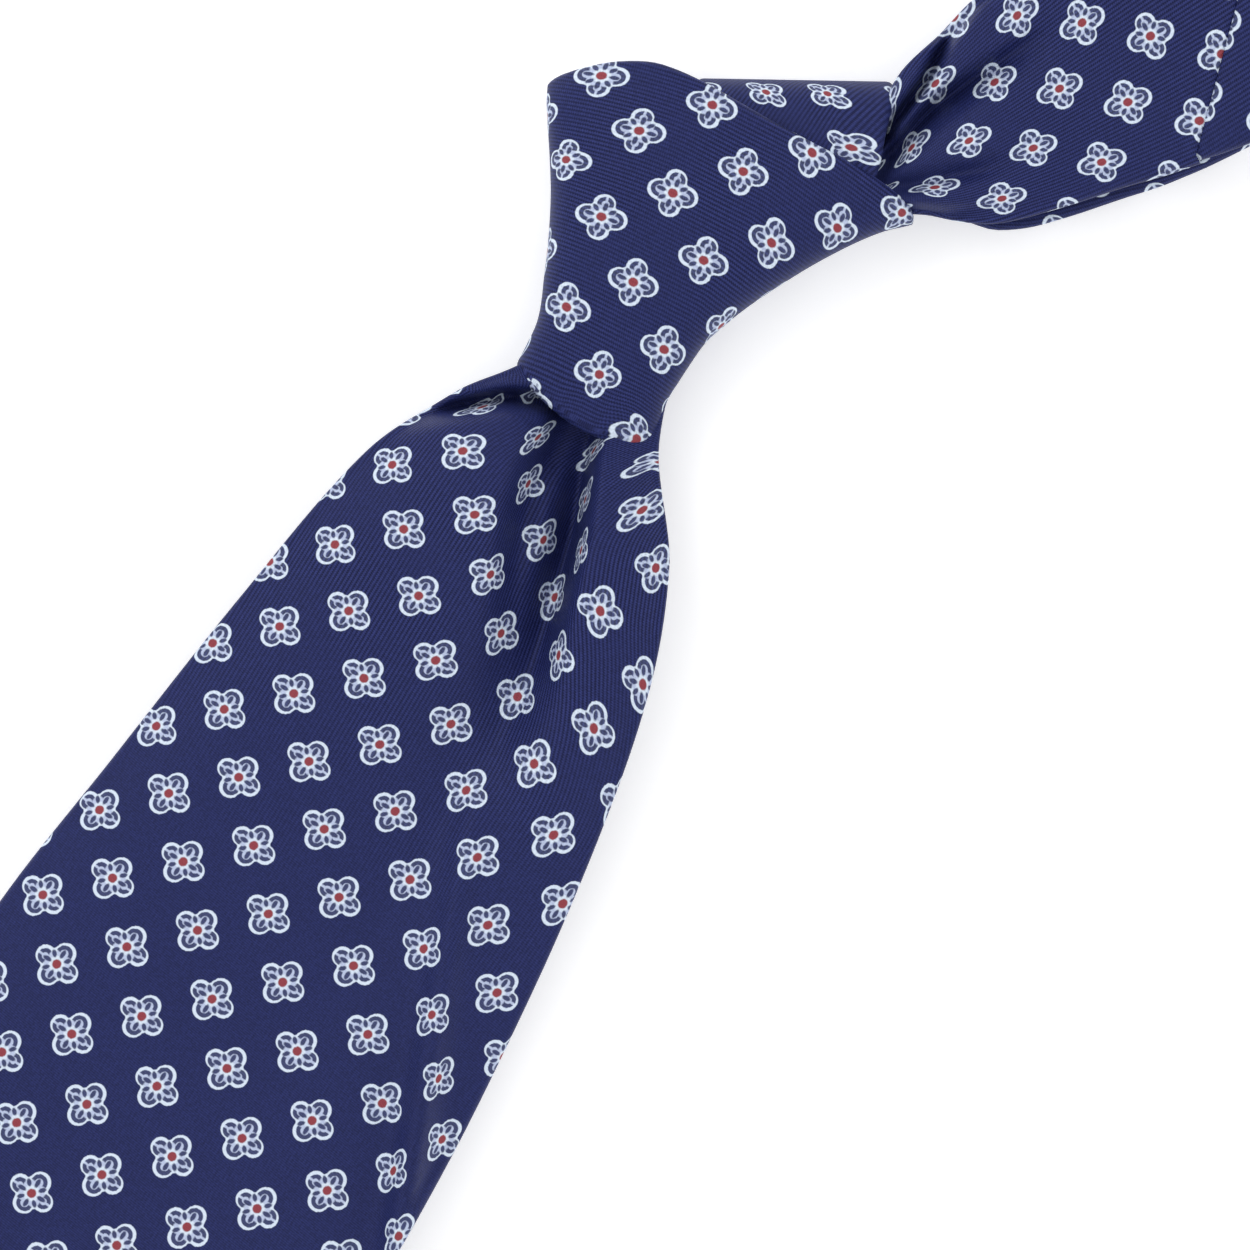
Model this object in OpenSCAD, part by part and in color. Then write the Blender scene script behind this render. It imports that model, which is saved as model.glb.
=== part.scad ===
// Necktie, tied in a four-in-hand knot and laid on a table with its front up.
// The origin is on the table under the middle of the knot, the blades run
// along -Y and +Z is up. Millimetres.

/* [Front blade] */
// Length of the front blade, from the knot to its point
front_l = 455; // [430:5:500]
// Width across the shoulders of the front blade
front_w = 80; // [74:1:90]
// Narrowing of the front blade per millimetre of length
front_taper = 0.041; // [0.03:0.001:0.05]

/* [Tail blade] */
// Length of the tail blade, from the knot to its point
tail_l = 320; // [280:5:330]
// Width across the shoulders of the tail blade
tail_w = 46; // [38:1:50]
// Narrowing of the tail blade per millimetre of length
tail_taper = 0.035; // [0.02:0.001:0.04]

/* [Knot] */
// Height of the knot along the tie
knot_h = 45; // [42:1:48]
// Height of the knot's crown above the table
knot_t = 18; // [17:0.5:20]

/* [Neck loop] */
// Length of the flattened neck loop, from the knot to its fold
loop_l = 196; // [180:1:230]
// Width of the neck panel
neck_w = 38; // [34:1:42]
// Height of the standing fold of the loop
loop_h = 40; // [34:1:50]
// Angle between the line of the blades and the neck loop
loop_angle = 28.5; // [20:0.5:32]

/* [Cloth] */
// Thickness of the silk shell
shell_t = 0.4; // [0.3:0.05:0.5]
// Thickness of the finished front blade: shell, interlining, lining and flaps
blade_t = 2.8; // [2.6:0.1:3.2]
// Thickness of the tipping cloth that lines each point
tipping_t = 0.25; // [0.2:0.05:0.3]
// Width of the hem turned to the back around each point
hem_w = 5; // [4:0.5:7]

/* [Trim] */
// Distance of the keeper loop from the point of the front blade
keeper_s = 205; // [180:5:220]
// Width of the keeper loop, along the tie
keeper_w = 11; // [8:1:14]
// Length of the bar tacks, across the tie
tack_l = 7; // [5:0.5:9]

/* [Hidden] */

silk = [0.18, 0.20, 0.37];
wool = [0.90, 0.88, 0.82];
lining = [0.10, 0.11, 0.24];
thread = [0.13, 0.14, 0.30];
label_cloth = [0.85, 0.85, 0.86];

knot_low = -22;                       // y of the knot's lower mouth
front_tip = knot_low - front_l;       // y of the front blade's point
tail_tip = knot_low - tail_l;         // y of the tail blade's point
front_start = -116;                   // y where the flat front blade begins
tail_start = -100;                    // y where the flat tail blade begins
layer_gap = 0.1;                      // between the layers inside a blade
edge_gap = 0.3;                       // from the layers to the folded edge around them
tail_t = blade_t - 0.2;               // the tail blade is a little thinner
tail_z = 4.5;                         // underside of the tail inside the knot
tail_rest_z = 0.8;                    // underside of the tail at its point
tail_slope = (tail_z - tail_rest_z) / tail_l;
between = 1.6;                        // room for the keeper loop between the blades
slit_w = 0.8;                         // gap between the two flaps at the centre back
thread_t = 0.3;                       // thickness of the sewing thread
wide = 120;                           // more than the width of anything here

// ---------------------------------------------------------------- shared shapes

// Smooth step from 0 to 1.
function ease(t) = let (c = max(0, min(1, t))) c * c * (3 - 2 * c);

// Underside of the tail blade at y.
function tail_floor(y) = tail_rest_z + (y - tail_tip) * tail_slope;

// Underside of the front blade at y: above the tail, then down to the table.
drop_from = tail_tip - 52;
drop_to = drop_from - 44;
function front_floor(y) =
    (tail_floor(max(y, drop_from)) + tail_t + between) * ease((y - drop_to) / (drop_from - drop_to));
function front_slope(y) = atan((front_floor(y + 1) - front_floor(y - 1)) / 2);

// Half the width of a blade at y, between its shoulders and the knot.
function half_w(w, taper, tip, y) = (w - taper * (y - tip - w / 2)) / 2;

// Outline of a blade from above, drawn in from its edge by inset. Its point is square.
module blade_outline(w, taper, tip, start, inset = 0) {
    shoulder_y = tip + w / 2 + inset * (sqrt(2) - 1);
    h_start = half_w(w, taper, tip, start) - inset;
    h_low = w / 2 - inset;
    polygon([[0, tip + inset * sqrt(2)], [h_low, shoulder_y], [h_start, start],
             [-h_start, start], [-h_low, shoulder_y]]);
}

// The opening between the flaps at the back: a diamond at the point, then a slit.
module back_opening(w, tip, start) {
    low = tip + hem_w * sqrt(2);
    middle = (tip + w + low) / 2;
    slit_y = tip + w - slit_w / 2;
    polygon([[0, low], [middle - low, middle], [slit_w / 2, slit_y], [slit_w / 2, start + 1],
             [-slit_w / 2, start + 1], [-slit_w / 2, slit_y], [low - middle, middle]]);
}

// Points of a floor line, as [y, z], closer together where it bends.
front_line = concat([[front_tip - 1, 0]],
                    [for (k = [0:6]) let (y = drop_to + (drop_from - drop_to) * k / 6) [y, front_floor(y)]],
                    [[front_start + 1, front_floor(front_start + 1)]]);
tail_line = [[tail_tip - 1, tail_floor(tail_tip - 1)], [tail_start + 1, tail_floor(tail_start + 1)]];

// The space from a to b above a floor line, across the whole width.
module floor_band(line, a, b) {
    n = len(line);
    translate([-wide / 2, 0, 0]) rotate([90, 0, 90]) linear_extrude(wide)
        polygon(concat([for (p = line) [p[0], p[1] + a]],
                       [for (k = [n - 1:-1:0]) [line[k][0], line[k][1] + b]]));
}

// One layer of a blade, from a to b above its underside.
module front_layer(a, b, inset = 0) {
    intersection() {
        translate([0, 0, -5]) linear_extrude(40)
            blade_outline(front_w, front_taper, front_tip, front_start, inset);
        floor_band(front_line, a, b);
    }
}
module tail_layer(a, b, inset = 0) {
    intersection() {
        translate([0, 0, -5]) linear_extrude(40)
            blade_outline(tail_w, tail_taper, tail_tip, tail_start, inset);
        floor_band(tail_line, a, b);
    }
}

// Thread that closes the slit between the flaps, above the bar tack.
module slip_stitch(line, tip, w, start) {
    first = tip + w + 3;
    intersection() {
        translate([-thread_t / 2, first, -5]) cube([thread_t, start - first, 40]);
        floor_band(line, 0.05, 0.05 + thread_t);
    }
}

// Closed solid through a list of sections that have the same number of points.
module loft(sections) {
    n = len(sections);
    m = len(sections[0]);
    points = [for (s = sections) for (p = s) p];
    sides = [for (i = [0:n - 2]) for (j = [0:m - 1]) let (k = (j + 1) % m)
             [i * m + j, i * m + k, (i + 1) * m + k, (i + 1) * m + j]];
    polyhedron(points, concat(sides, [[for (j = [m - 1:-1:0]) j]], [[for (j = [0:m - 1]) (n - 1) * m + j]]));
}

// Corners of a flat band w wide and t thick, as [across, through].
function band_section(w, t) = let (r = min(t / 2, w / 4) * 0.7)
    [[w / 2, -t / 2 + r], [w / 2, t / 2 - r], [w / 2 - r, t / 2], [-w / 2 + r, t / 2],
     [-w / 2, t / 2 - r], [-w / 2, -t / 2 + r], [-w / 2 + r, -t / 2], [w / 2 - r, -t / 2]];

// Sections of a band that follows a line of [y, z, width, thickness, x].
function along(line) = [for (i = [0:len(line) - 1])
    let (a = line[max(i - 1, 0)], b = line[min(i + 1, len(line) - 1)], p = line[i],
         run = [b[0] - a[0], b[1] - a[1]], d = run / norm(run))
    [for (c = band_section(p[2], p[3])) [p[4] + c[0], p[0] - c[1] * d[1], p[1] + c[1] * d[0]]]];

// Places something in the neck loop's own frame: +Y runs along the loop.
loop_base = [15.5, 21.5];
module in_loop() {
    translate([loop_base[0], loop_base[1], 0]) rotate([0, 0, -loop_angle]) children();
}

// ---------------------------------------------------------------- knot

// Behind everything, the last pass rises to the loop. The knot lies on it.
rise_t = 2.1;
module knot_rise() {
    color(silk) linear_extrude(rise_t)
        polygon([[-7.9, 17.4], [-8, 9], [-4, -2], [-1, -14], [6, -14],
                 [6.5, -4], [9.5, 4], [14.5, 14.5], [15.5, 24], [12.7, 29.6]]);
}

// The pass that wraps behind the tail.
wrap_t = 2;
module knot_behind_wrap() {
    color(silk) translate([0, 0, rise_t + layer_gap]) linear_extrude(wrap_t)
        polygon([[-9, -17], [5, -17], [6, -2], [14.5, 15.5], [14, 19.5], [-15, 18], [-20, 12], [-13, -2]]);
}

// The first pass, which crosses over the tail.
module knot_crossover() {
    color(silk) translate([0, 0, 7.5]) linear_extrude(2)
        polygon([[-9, -9], [3, -9], [5.5, 2], [11.5, 17], [10, 20], [-13, 18], [-17, 11], [-11, -2]]);
}

// The last pass turns over the top of the knot, along a slanting fold.
// Each row is [distance to the fold's side, height, left end, right end].
fold_slant = 30.5;
tuck_rows = [[19.3, 1.1, 6, 24.8], [22.2, 1.6, 5.6, 25.6], [24.1, 3.6, 5.4, 26.2], [24.7, 7.2, 5.3, 26.4],
             [24.1, 10.4, 5.4, 26.2], [21.9, 12.1, 5.8, 25.8], [18.6, 12.5, 6.4, 25], [15, 12.3, 7, 24.4]];
module knot_tuck() {
    line = [for (r = tuck_rows) [r[0], r[1], r[3] - r[2], 2, (r[2] + r[3]) / 2]];
    color(silk) rotate([0, 0, fold_slant]) loft(along(line));
}

// Under the front band it narrows to the knot's mouth.
module knot_drop() {
    color(silk) loft(along([[10, 11.2, 16, 2, -2.5], [4, 11.2, 15, 2, -3.5], [-4, 11, 13, 2, -3.8],
                            [-12, 10.4, 11, 2, -3.2], [-19, 9.6, 8.5, 2, -2.4]]));
}

// The front band. Each row is [y, left edge, right edge, crown].
band_rows = [[-22, -12, 8, 13.8], [-17, -12.8, 7.2, 14.4], [-10, -15, 6.8, 15.6], [-1, -19.5, 8.4, 17],
             [6, -23.8, 11.4, 17.8], [12, -27, 14.5, 18], [15, -26, 16.3, 17.8], [18, -22.5, 18.5, 17.5],
             [21, -16, 21, 17], [23, -12.5, 21.8, 16.2]];
band_t = 2.2;
band_foot = rise_t + wrap_t + 2 * layer_gap;
arch_n = 14;
// Points over the knot at one row, from right to left, drawn in by inset.
function arch(row, inset) = let (half = (row[2] - row[1]) / 2, rise = row[3] - band_foot)
    [for (k = [0:arch_n]) let (c = cos(180 * k / arch_n), s = sin(180 * k / arch_n))
     [(row[1] + row[2]) / 2 + (half - inset) * sign(c) * pow(abs(c), 0.55), row[0],
      band_foot + (rise - inset) * pow(abs(s), 0.7)]];
module knot_front_band() {
    rows = [for (r = band_rows) [knot_low + (r[0] - knot_low) * knot_h / 45, r[1], r[2], r[3] * knot_t / 18]];
    color(silk) loft([for (r = rows) let (outer = arch(r, 0), inner = arch(r, band_t))
        concat(outer, [for (k = [arch_n:-1:0]) inner[k]])]);
}

// ---------------------------------------------------------------- front panel

// Below the knot the front panel fans out, with a dimple down its middle.
// Each row is [y, left edge, right edge, crest, dimple depth, edge droop].
gather_t = 2.4;
gather_rows = [[-20.6, -7.2, 3.2, 8.7, 0.05, 0.1], [-22.4, -7.9, 3.9, 9.1, 0.4, 0.3],
               [-26, -15.6, 13.6, 12, 2.6, 1.8], [-33, -21.3, 18.2, 13, 3.4, 2.8],
               [-42, -23, 22.2, 13.2, 3.2, 2.8], [-54, -25.5, 25.4, 12.6, 2.6, 2.4],
               [-68, -27, 28.5, 11.7, 1.9, 1.8], [-84, -29.2, 31, 10.7, 1.1, 1.2],
               [-100, -31, 32.6, 9.8, 0.4, 0.5]];
dimple_at = 0.64;
across_n = 16;
function gather_z(row, u) =
    row[3] - row[5] * pow(2 * u - 1, 4) - row[4] * exp(-pow((u - dimple_at) / 0.14, 2));
function gather_side(row, shift) = [for (k = [0:across_n]) let (u = k / across_n)
    [row[1] + (row[2] - row[1]) * u, row[0], gather_z(row, u) + shift]];
module front_gather() {
    y = front_start + layer_gap;
    h = half_w(front_w, front_taper, front_tip, y);
    rows = concat(gather_rows, [[y, -h, h, front_floor(y) + blade_t / 2, 0.05, 0.2]]);
    color(silk) loft([for (r = rows)
        let (top = gather_side(r, gather_t / 2), low = gather_side(r, -gather_t / 2))
        concat(top, [for (k = [across_n:-1:0]) low[k]])]);
}

module front_shell() {
    color(silk) difference() {
        front_layer(0, blade_t);
        front_layer(shell_t, blade_t - shell_t, shell_t);
        intersection() {
            translate([0, 0, -5]) linear_extrude(40) back_opening(front_w, front_tip, front_start);
            floor_band(front_line, -1, shell_t + layer_gap);
        }
    }
}

module front_interlining() {
    low = shell_t + tipping_t + 2 * layer_gap;
    color(wool) front_layer(low, blade_t - shell_t - layer_gap, shell_t + edge_gap);
}

// The tipping reaches a little past the place where the flaps meet.
tipping_reach = 22;
module front_tipping() {
    low = shell_t + layer_gap;
    color(lining) intersection() {
        front_layer(low, low + tipping_t, shell_t + edge_gap);
        translate([-wide / 2, front_tip, -5]) cube([wide, front_w + tipping_reach, 40]);
    }
}

// Places something on the back of the front blade at y.
module at_front_back(y) {
    translate([0, y, front_floor(y)]) rotate([front_slope(y), 0, 0]) children();
}

// The slip stitch ends in a small spare loop of thread inside the back opening.
module front_slip_stitch() {
    color(thread) {
        slip_stitch(front_line, front_tip, front_w, front_start);
        at_front_back(front_tip + front_w - 9) translate([0, 0, 0.25])
            rotate_extrude($fn = 32) translate([2.2, 0]) circle(d = 0.22, $fn = 12);
    }
}

module front_bar_tack() {
    color(thread) at_front_back(front_tip + front_w + 6)
        translate([-tack_l / 2, 0, -thread_t - 0.05]) cube([tack_l, 1, thread_t]);
}

// The keeper is a strip of shell cloth with both ends sewn to the blade's back.
keeper_span = 52;
keeper_t = 0.4;
keeper_room = 0.45;
keeper_low = keeper_room + keeper_t + 0.05;
module keeper_loop() {
    color(silk) at_front_back(front_tip + keeper_s) difference() {
        translate([-keeper_span / 2, 0, -keeper_low]) cube([keeper_span, keeper_w, keeper_low - 0.05]);
        translate([-keeper_span / 2 + 5, -1, -keeper_low + keeper_t])
            cube([keeper_span - 10, keeper_w + 2, keeper_room + 1]);
    }
}
module keeper_stitches() {
    color(thread) for (side = [-1, 1], row = [1.5, keeper_w - 2.5])
        at_front_back(front_tip + keeper_s)
            translate([side * (keeper_span / 2 - 2.5) - 1.5, row, -keeper_low - 0.25]) cube([3, 1, 0.2]);
}

// A blank woven label above the keeper, sewn down along its short sides.
label_l = 46;
label_h = 20;
label_t = 0.35;
label_y = front_tip + keeper_s + keeper_w + 6;
module back_label() {
    color(label_cloth) at_front_back(label_y)
        translate([-label_l / 2, 0, -label_t - 0.05]) cube([label_l, label_h, label_t]);
}
module label_stitches() {
    color(thread) for (side = [-1, 1]) at_front_back(label_y)
        translate([side * (label_l / 2 - 1.5) - 0.3, 1.5, -label_t - 0.3]) cube([0.6, label_h - 3, 0.2]);
}

// ---------------------------------------------------------------- neck loop

low_z = 1.45;                         // centre of the loop's lower run
high_z = loop_h - low_z;              // centre of its upper run at the fold
fold_y = loop_l - loop_h / 2;
neck_t = 2.7;
function upper_z(y) = 9.4 + 1.4 * ease(y / 40) + (high_z - 10.8) * ease((y - 40) / (fold_y - 40));
function lower_z(y) = low_z + 4.5 * (1 - ease(y / 95));

// The loop's centre line beyond the seams, as [y, z]; reach moves it inward.
function neck_path(reach) = concat(
    [for (y = [30:14:fold_y - 5]) [y, upper_z(y) - reach]],
    [for (a = [85:-17:-85]) [fold_y + (loop_h / 2 - low_z - reach) * cos(a),
                             loop_h / 2 + (loop_h / 2 - low_z - reach) * sin(a)]],
    [for (y = [fold_y - 8:-16:60]) [y, lower_z(y) + reach]]);

// Everything short of a line at 45 degrees across the loop, between two heights.
module short_of(y, z0, z1) {
    translate([0, y, z0]) rotate([0, 0, -45])
        translate([-wide, -2 * wide, 0]) cube([2 * wide, 2 * wide, z1 - z0]);
}

// Strap from the knot to the front bias seam. Each row is [along the loop, width, shift across it].
front_seam_y = 54.6;
module upper_strap() {
    rows = [[-3, 5.5, -1.5], [3, 6.5, -1.5], [7, 14, -0.5], [9, 20, 0], [12, 24, 0], [17, 27, 0],
            [24, 30.6, 0], [32, 32.6, 0], [45, 36.4, 0], [56, neck_w, 0], [78, neck_w, 0]];
    color(silk) in_loop() intersection() {
        loft(along([for (r = rows) [r[0], upper_z(r[0]), r[1], neck_t, r[2]]]));
        short_of(front_seam_y - layer_gap, 0, 40);
    }
}

// The neck panel has a bias seam at each end, the front one above the tail one.
tail_seam_y = 86;
module neck_part(w, t, cut) {
    in_loop() difference() {
        loft(along([for (p = neck_path(0)) [p[0], p[1], w, t, 0]]));
        short_of(front_seam_y + cut, 8, 38);
        short_of(tail_seam_y + cut, -2, 8);
    }
}
module neck_shell() {
    color(silk) difference() {
        neck_part(neck_w, neck_t, 0);
        neck_part(neck_w - 2 * shell_t, neck_t - 2 * shell_t, -1);
    }
}
module neck_interlining() {
    inner = shell_t + layer_gap;
    color(wool) neck_part(neck_w - 2 * inner - 2 * edge_gap, neck_t - 2 * inner, 1);
}

// The seam of the neck panel faces the wearer, inside the loop.
module neck_slip_stitch() {
    reach = neck_t / 2 + thread_t / 2 + 0.2;
    color(thread) in_loop() difference() {
        loft(along([for (p = neck_path(reach)) [p[0], p[1], thread_t * 2, thread_t, 0]]));
        short_of(front_seam_y + 1, 5, 38);
        short_of(tail_seam_y + 1, -2, 5);
    }
}

// Strap from the tail bias seam to the knot, under the upper one.
module lower_strap() {
    rows = [[-3, 7.5, -2.6], [3, 8.6, -2.4], [9, 17, -0.5], [14, 22, 0], [26, 28, 0], [44, 34, 0],
            [64, 36.5, 0], [84, neck_w, 0], [107, neck_w, 0]];
    color(silk) in_loop() intersection() {
        loft(along([for (r = rows) [r[0], lower_z(r[0]), r[1], 2.6, r[2]]]));
        short_of(tail_seam_y - layer_gap, -5, 20);
    }
}

// ---------------------------------------------------------------- tail panel

// The tail panel runs through the knot, gathered, then fans out.
module tail_gather() {
    y = tail_start + layer_gap;
    w = 2 * half_w(tail_w, tail_taper, tail_tip, y);
    color(silk) loft(along([[19, 5.9, 15, 2.6, 4], [8, 5.9, 15, 2.6, 0], [-6, 5.9, 13, 2.6, -2.5],
                            [-20, 5.8, 11, 2.6, -2.4], [-30, 5.6, 16, 2.6, -1], [-44, 5.4, 23, 2.6, 0],
                            [-62, 5.2, 29, 2.6, 0], [-80, 5, 33, 2.6, 0],
                            [y, tail_floor(y) + tail_t / 2, w, tail_t, 0]]));
}

module tail_shell() {
    color(silk) difference() {
        tail_layer(0, tail_t);
        tail_layer(shell_t, tail_t - shell_t, shell_t);
        intersection() {
            translate([0, 0, -5]) linear_extrude(40) back_opening(tail_w, tail_tip, tail_start);
            floor_band(tail_line, -1, shell_t + layer_gap);
        }
    }
}

module tail_interlining() {
    low = shell_t + tipping_t + 2 * layer_gap;
    color(wool) tail_layer(low, tail_t - shell_t - layer_gap, shell_t + edge_gap);
}

module tail_tipping() {
    low = shell_t + layer_gap;
    color(lining) intersection() {
        tail_layer(low, low + tipping_t, shell_t + edge_gap);
        translate([-wide / 2, tail_tip, -5]) cube([wide, tail_w + tipping_reach, 40]);
    }
}

module tail_slip_stitch() {
    color(thread) slip_stitch(tail_line, tail_tip, tail_w, tail_start);
}

// Places something on the back of the tail blade at y.
module at_tail_back(y) {
    translate([0, y, tail_floor(y)]) rotate([atan(tail_slope), 0, 0]) children();
}

module tail_bar_tack() {
    color(thread) at_tail_back(tail_tip + tail_w + 5)
        translate([-tack_l / 2, 0, -thread_t - 0.05]) cube([tack_l, 1, thread_t]);
}

// A small blank care label, sewn on above the bar tack.
module care_label() {
    color(label_cloth) at_tail_back(tail_tip + tail_w + 12) translate([-9, 0, -0.3]) cube([18, 15, 0.25]);
}

// ---------------------------------------------------------------- nodes

knot_rise();
knot_behind_wrap();
knot_crossover();
knot_tuck();
knot_drop();
knot_front_band();
front_gather();
front_shell();
front_interlining();
front_tipping();
front_slip_stitch();
front_bar_tack();
keeper_loop();
keeper_stitches();
back_label();
label_stitches();
upper_strap();
neck_shell();
neck_interlining();
neck_slip_stitch();
lower_strap();
tail_gather();
tail_shell();
tail_interlining();
tail_tipping();
tail_slip_stitch();
tail_bar_tack();
care_label();
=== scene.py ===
"""A silk necktie, tied and laid flat: its looks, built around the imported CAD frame."""

import math

import bpy
import numpy as np
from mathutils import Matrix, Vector


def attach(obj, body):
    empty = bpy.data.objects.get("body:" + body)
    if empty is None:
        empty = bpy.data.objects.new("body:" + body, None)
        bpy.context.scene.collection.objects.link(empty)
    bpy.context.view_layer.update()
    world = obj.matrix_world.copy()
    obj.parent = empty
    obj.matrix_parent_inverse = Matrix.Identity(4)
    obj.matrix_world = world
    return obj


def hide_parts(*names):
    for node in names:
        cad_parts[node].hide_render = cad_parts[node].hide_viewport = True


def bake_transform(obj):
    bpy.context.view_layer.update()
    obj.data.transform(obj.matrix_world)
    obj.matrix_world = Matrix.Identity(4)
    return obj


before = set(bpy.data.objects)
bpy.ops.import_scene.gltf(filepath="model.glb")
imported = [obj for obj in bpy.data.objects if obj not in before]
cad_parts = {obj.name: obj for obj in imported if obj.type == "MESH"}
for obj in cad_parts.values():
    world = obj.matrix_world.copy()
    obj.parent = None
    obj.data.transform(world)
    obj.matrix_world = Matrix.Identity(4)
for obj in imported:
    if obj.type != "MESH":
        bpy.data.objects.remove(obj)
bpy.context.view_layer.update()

MM = 0.001

# ------------------------------------------------------------------ numbers shared with the CAD, in mm
KNOT_LOW = -22.0
FRONT_TIP = KNOT_LOW - 455.0
TAIL_TIP = KNOT_LOW - 320.0
FRONT_W, FRONT_TAPER = 80.0, 0.041
TAIL_W, TAIL_TAPER = 46.0, 0.035
BLADE_T, TAIL_T = 2.8, 2.6
TAIL_Z, TAIL_REST_Z, BETWEEN = 4.5, 0.8, 1.6
TAIL_SLOPE = (TAIL_Z - TAIL_REST_Z) / 320.0
DROP_FROM = TAIL_TIP - 52.0
DROP_TO = DROP_FROM - 44.0
HEM = 5.0
LOOP_BASE = np.array([15.5, 21.5])
LOOP_ANGLE = math.radians(28.5)
LOOP_H, LOOP_L, NECK_W = 40.0, 196.0, 38.0
FOLD_Y = LOOP_L - LOOP_H / 2
LOW_Z = 1.45
HIGH_Z = LOOP_H - LOW_Z
FRONT_SEAM, TAIL_SEAM = 54.6, 86.0
KEEPER_Y = FRONT_TIP + 205.0
KEEPER_W, KEEPER_SPAN = 11.0, 52.0
HALF_PITCH = 6.7          # half the diagonal of the print's square lattice
REPEATS = 12 * HALF_PITCH  # whole repeats, which keep pieces clear of each other's part of the weave
MOTIF = 1.07              # size of the printed flower


def ease(t):
    t = np.clip(t, 0.0, 1.0)
    return t * t * (3 - 2 * t)


def tail_floor(y):
    return TAIL_REST_Z + (y - TAIL_TIP) * TAIL_SLOPE


def front_floor(y):
    return (tail_floor(np.maximum(y, DROP_FROM)) + TAIL_T + BETWEEN) * ease((y - DROP_TO)
                                                                            / (DROP_FROM - DROP_TO))


def front_half(y):
    return (FRONT_W - FRONT_TAPER * (y - FRONT_TIP - FRONT_W / 2)) / 2


def tail_half(y):
    return (TAIL_W - TAIL_TAPER * (y - TAIL_TIP - TAIL_W / 2)) / 2


def upper_z(y):
    return 9.4 + 1.4 * ease(y / 40) + (HIGH_Z - 10.8) * ease((y - 40) / (FOLD_Y - 40))


def lower_z(y):
    return LOW_Z + 4.5 * (1 - ease(y / 95))


def smooth(points):
    """A curve through (x, y) points that doesn't overshoot them, as a function."""
    px = np.array([p[0] for p in points], float)
    py = np.array([p[1] for p in points], float)
    h = np.diff(px)
    d = np.diff(py) / h
    m = np.zeros(len(px))
    m[0], m[-1] = d[0], d[-1]
    for i in range(1, len(px) - 1):
        if d[i - 1] * d[i] > 0:
            w1, w2 = 2 * h[i] + h[i - 1], h[i] + 2 * h[i - 1]
            m[i] = (w1 + w2) / (w1 / d[i - 1] + w2 / d[i])

    def f(q):
        q = np.asarray(q, float)
        c = np.clip(q, px[0], px[-1])
        i = np.clip(np.searchsorted(px, c, side="right") - 1, 0, len(px) - 2)
        t = (c - px[i]) / h[i]
        y = ((1 + 2 * t) * (1 - t) ** 2 * py[i] + t * (1 - t) ** 2 * h[i] * m[i]
             + t * t * (3 - 2 * t) * py[i + 1] + t * t * (t - 1) * h[i] * m[i + 1])
        return y + (q - c) * np.where(q < px[0], m[0], m[-1])
    return f


# ------------------------------------------------------------------ mesh builders

def grid_mesh(name, pos, uv, close_cols=False, close_rows=False, cap=False):
    """A mesh of quads through pos (rows, columns, 3) in mm, with the weave's (s, t) in mm as its UV map."""
    n, m = pos.shape[:2]
    nr = n if close_rows else n - 1
    nc = m if close_cols else m - 1
    faces, loops = [], []
    for i in range(nr):
        for j in range(nc):
            i2, j2 = (i + 1) % n, (j + 1) % m
            faces.append((i * m + j, i * m + j2, i2 * m + j2, i2 * m + j))
            loops.append(((i, j), (i, j + 1), (i + 1, j + 1), (i + 1, j)))
    if cap:
        faces.append(tuple(range(m - 1, -1, -1)))
        faces.append(tuple((n - 1) * m + j for j in range(m)))
    me = bpy.data.meshes.new(name)
    me.from_pydata((pos.reshape(-1, 3) * MM).tolist(), [], faces)
    layer = me.uv_layers.new(name="weave")
    k = 0
    un, um = uv.shape[:2]
    for quad in loops:
        for i, j in quad:
            layer.data[k].uv = uv[min(i, un - 1), min(j, um - 1)] * MM
            k += 1
    if cap:
        for row in (0, n - 1):
            for j in range(m):
                layer.data[k].uv = uv[row, min(j, um - 1)] * MM
                k += 1
    me.polygons.foreach_set("use_smooth", [True] * len(me.polygons))
    me.update()
    obj = bpy.data.objects.new(name, me)
    bpy.context.scene.collection.objects.link(obj)
    return obj


def thicken(obj, t, offset=-1.0):
    mod = obj.modifiers.new("cloth thickness", "SOLIDIFY")
    mod.thickness = t * MM
    mod.offset = offset
    mod.use_even_offset = False
    return obj


ROLL_N = 9


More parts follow.
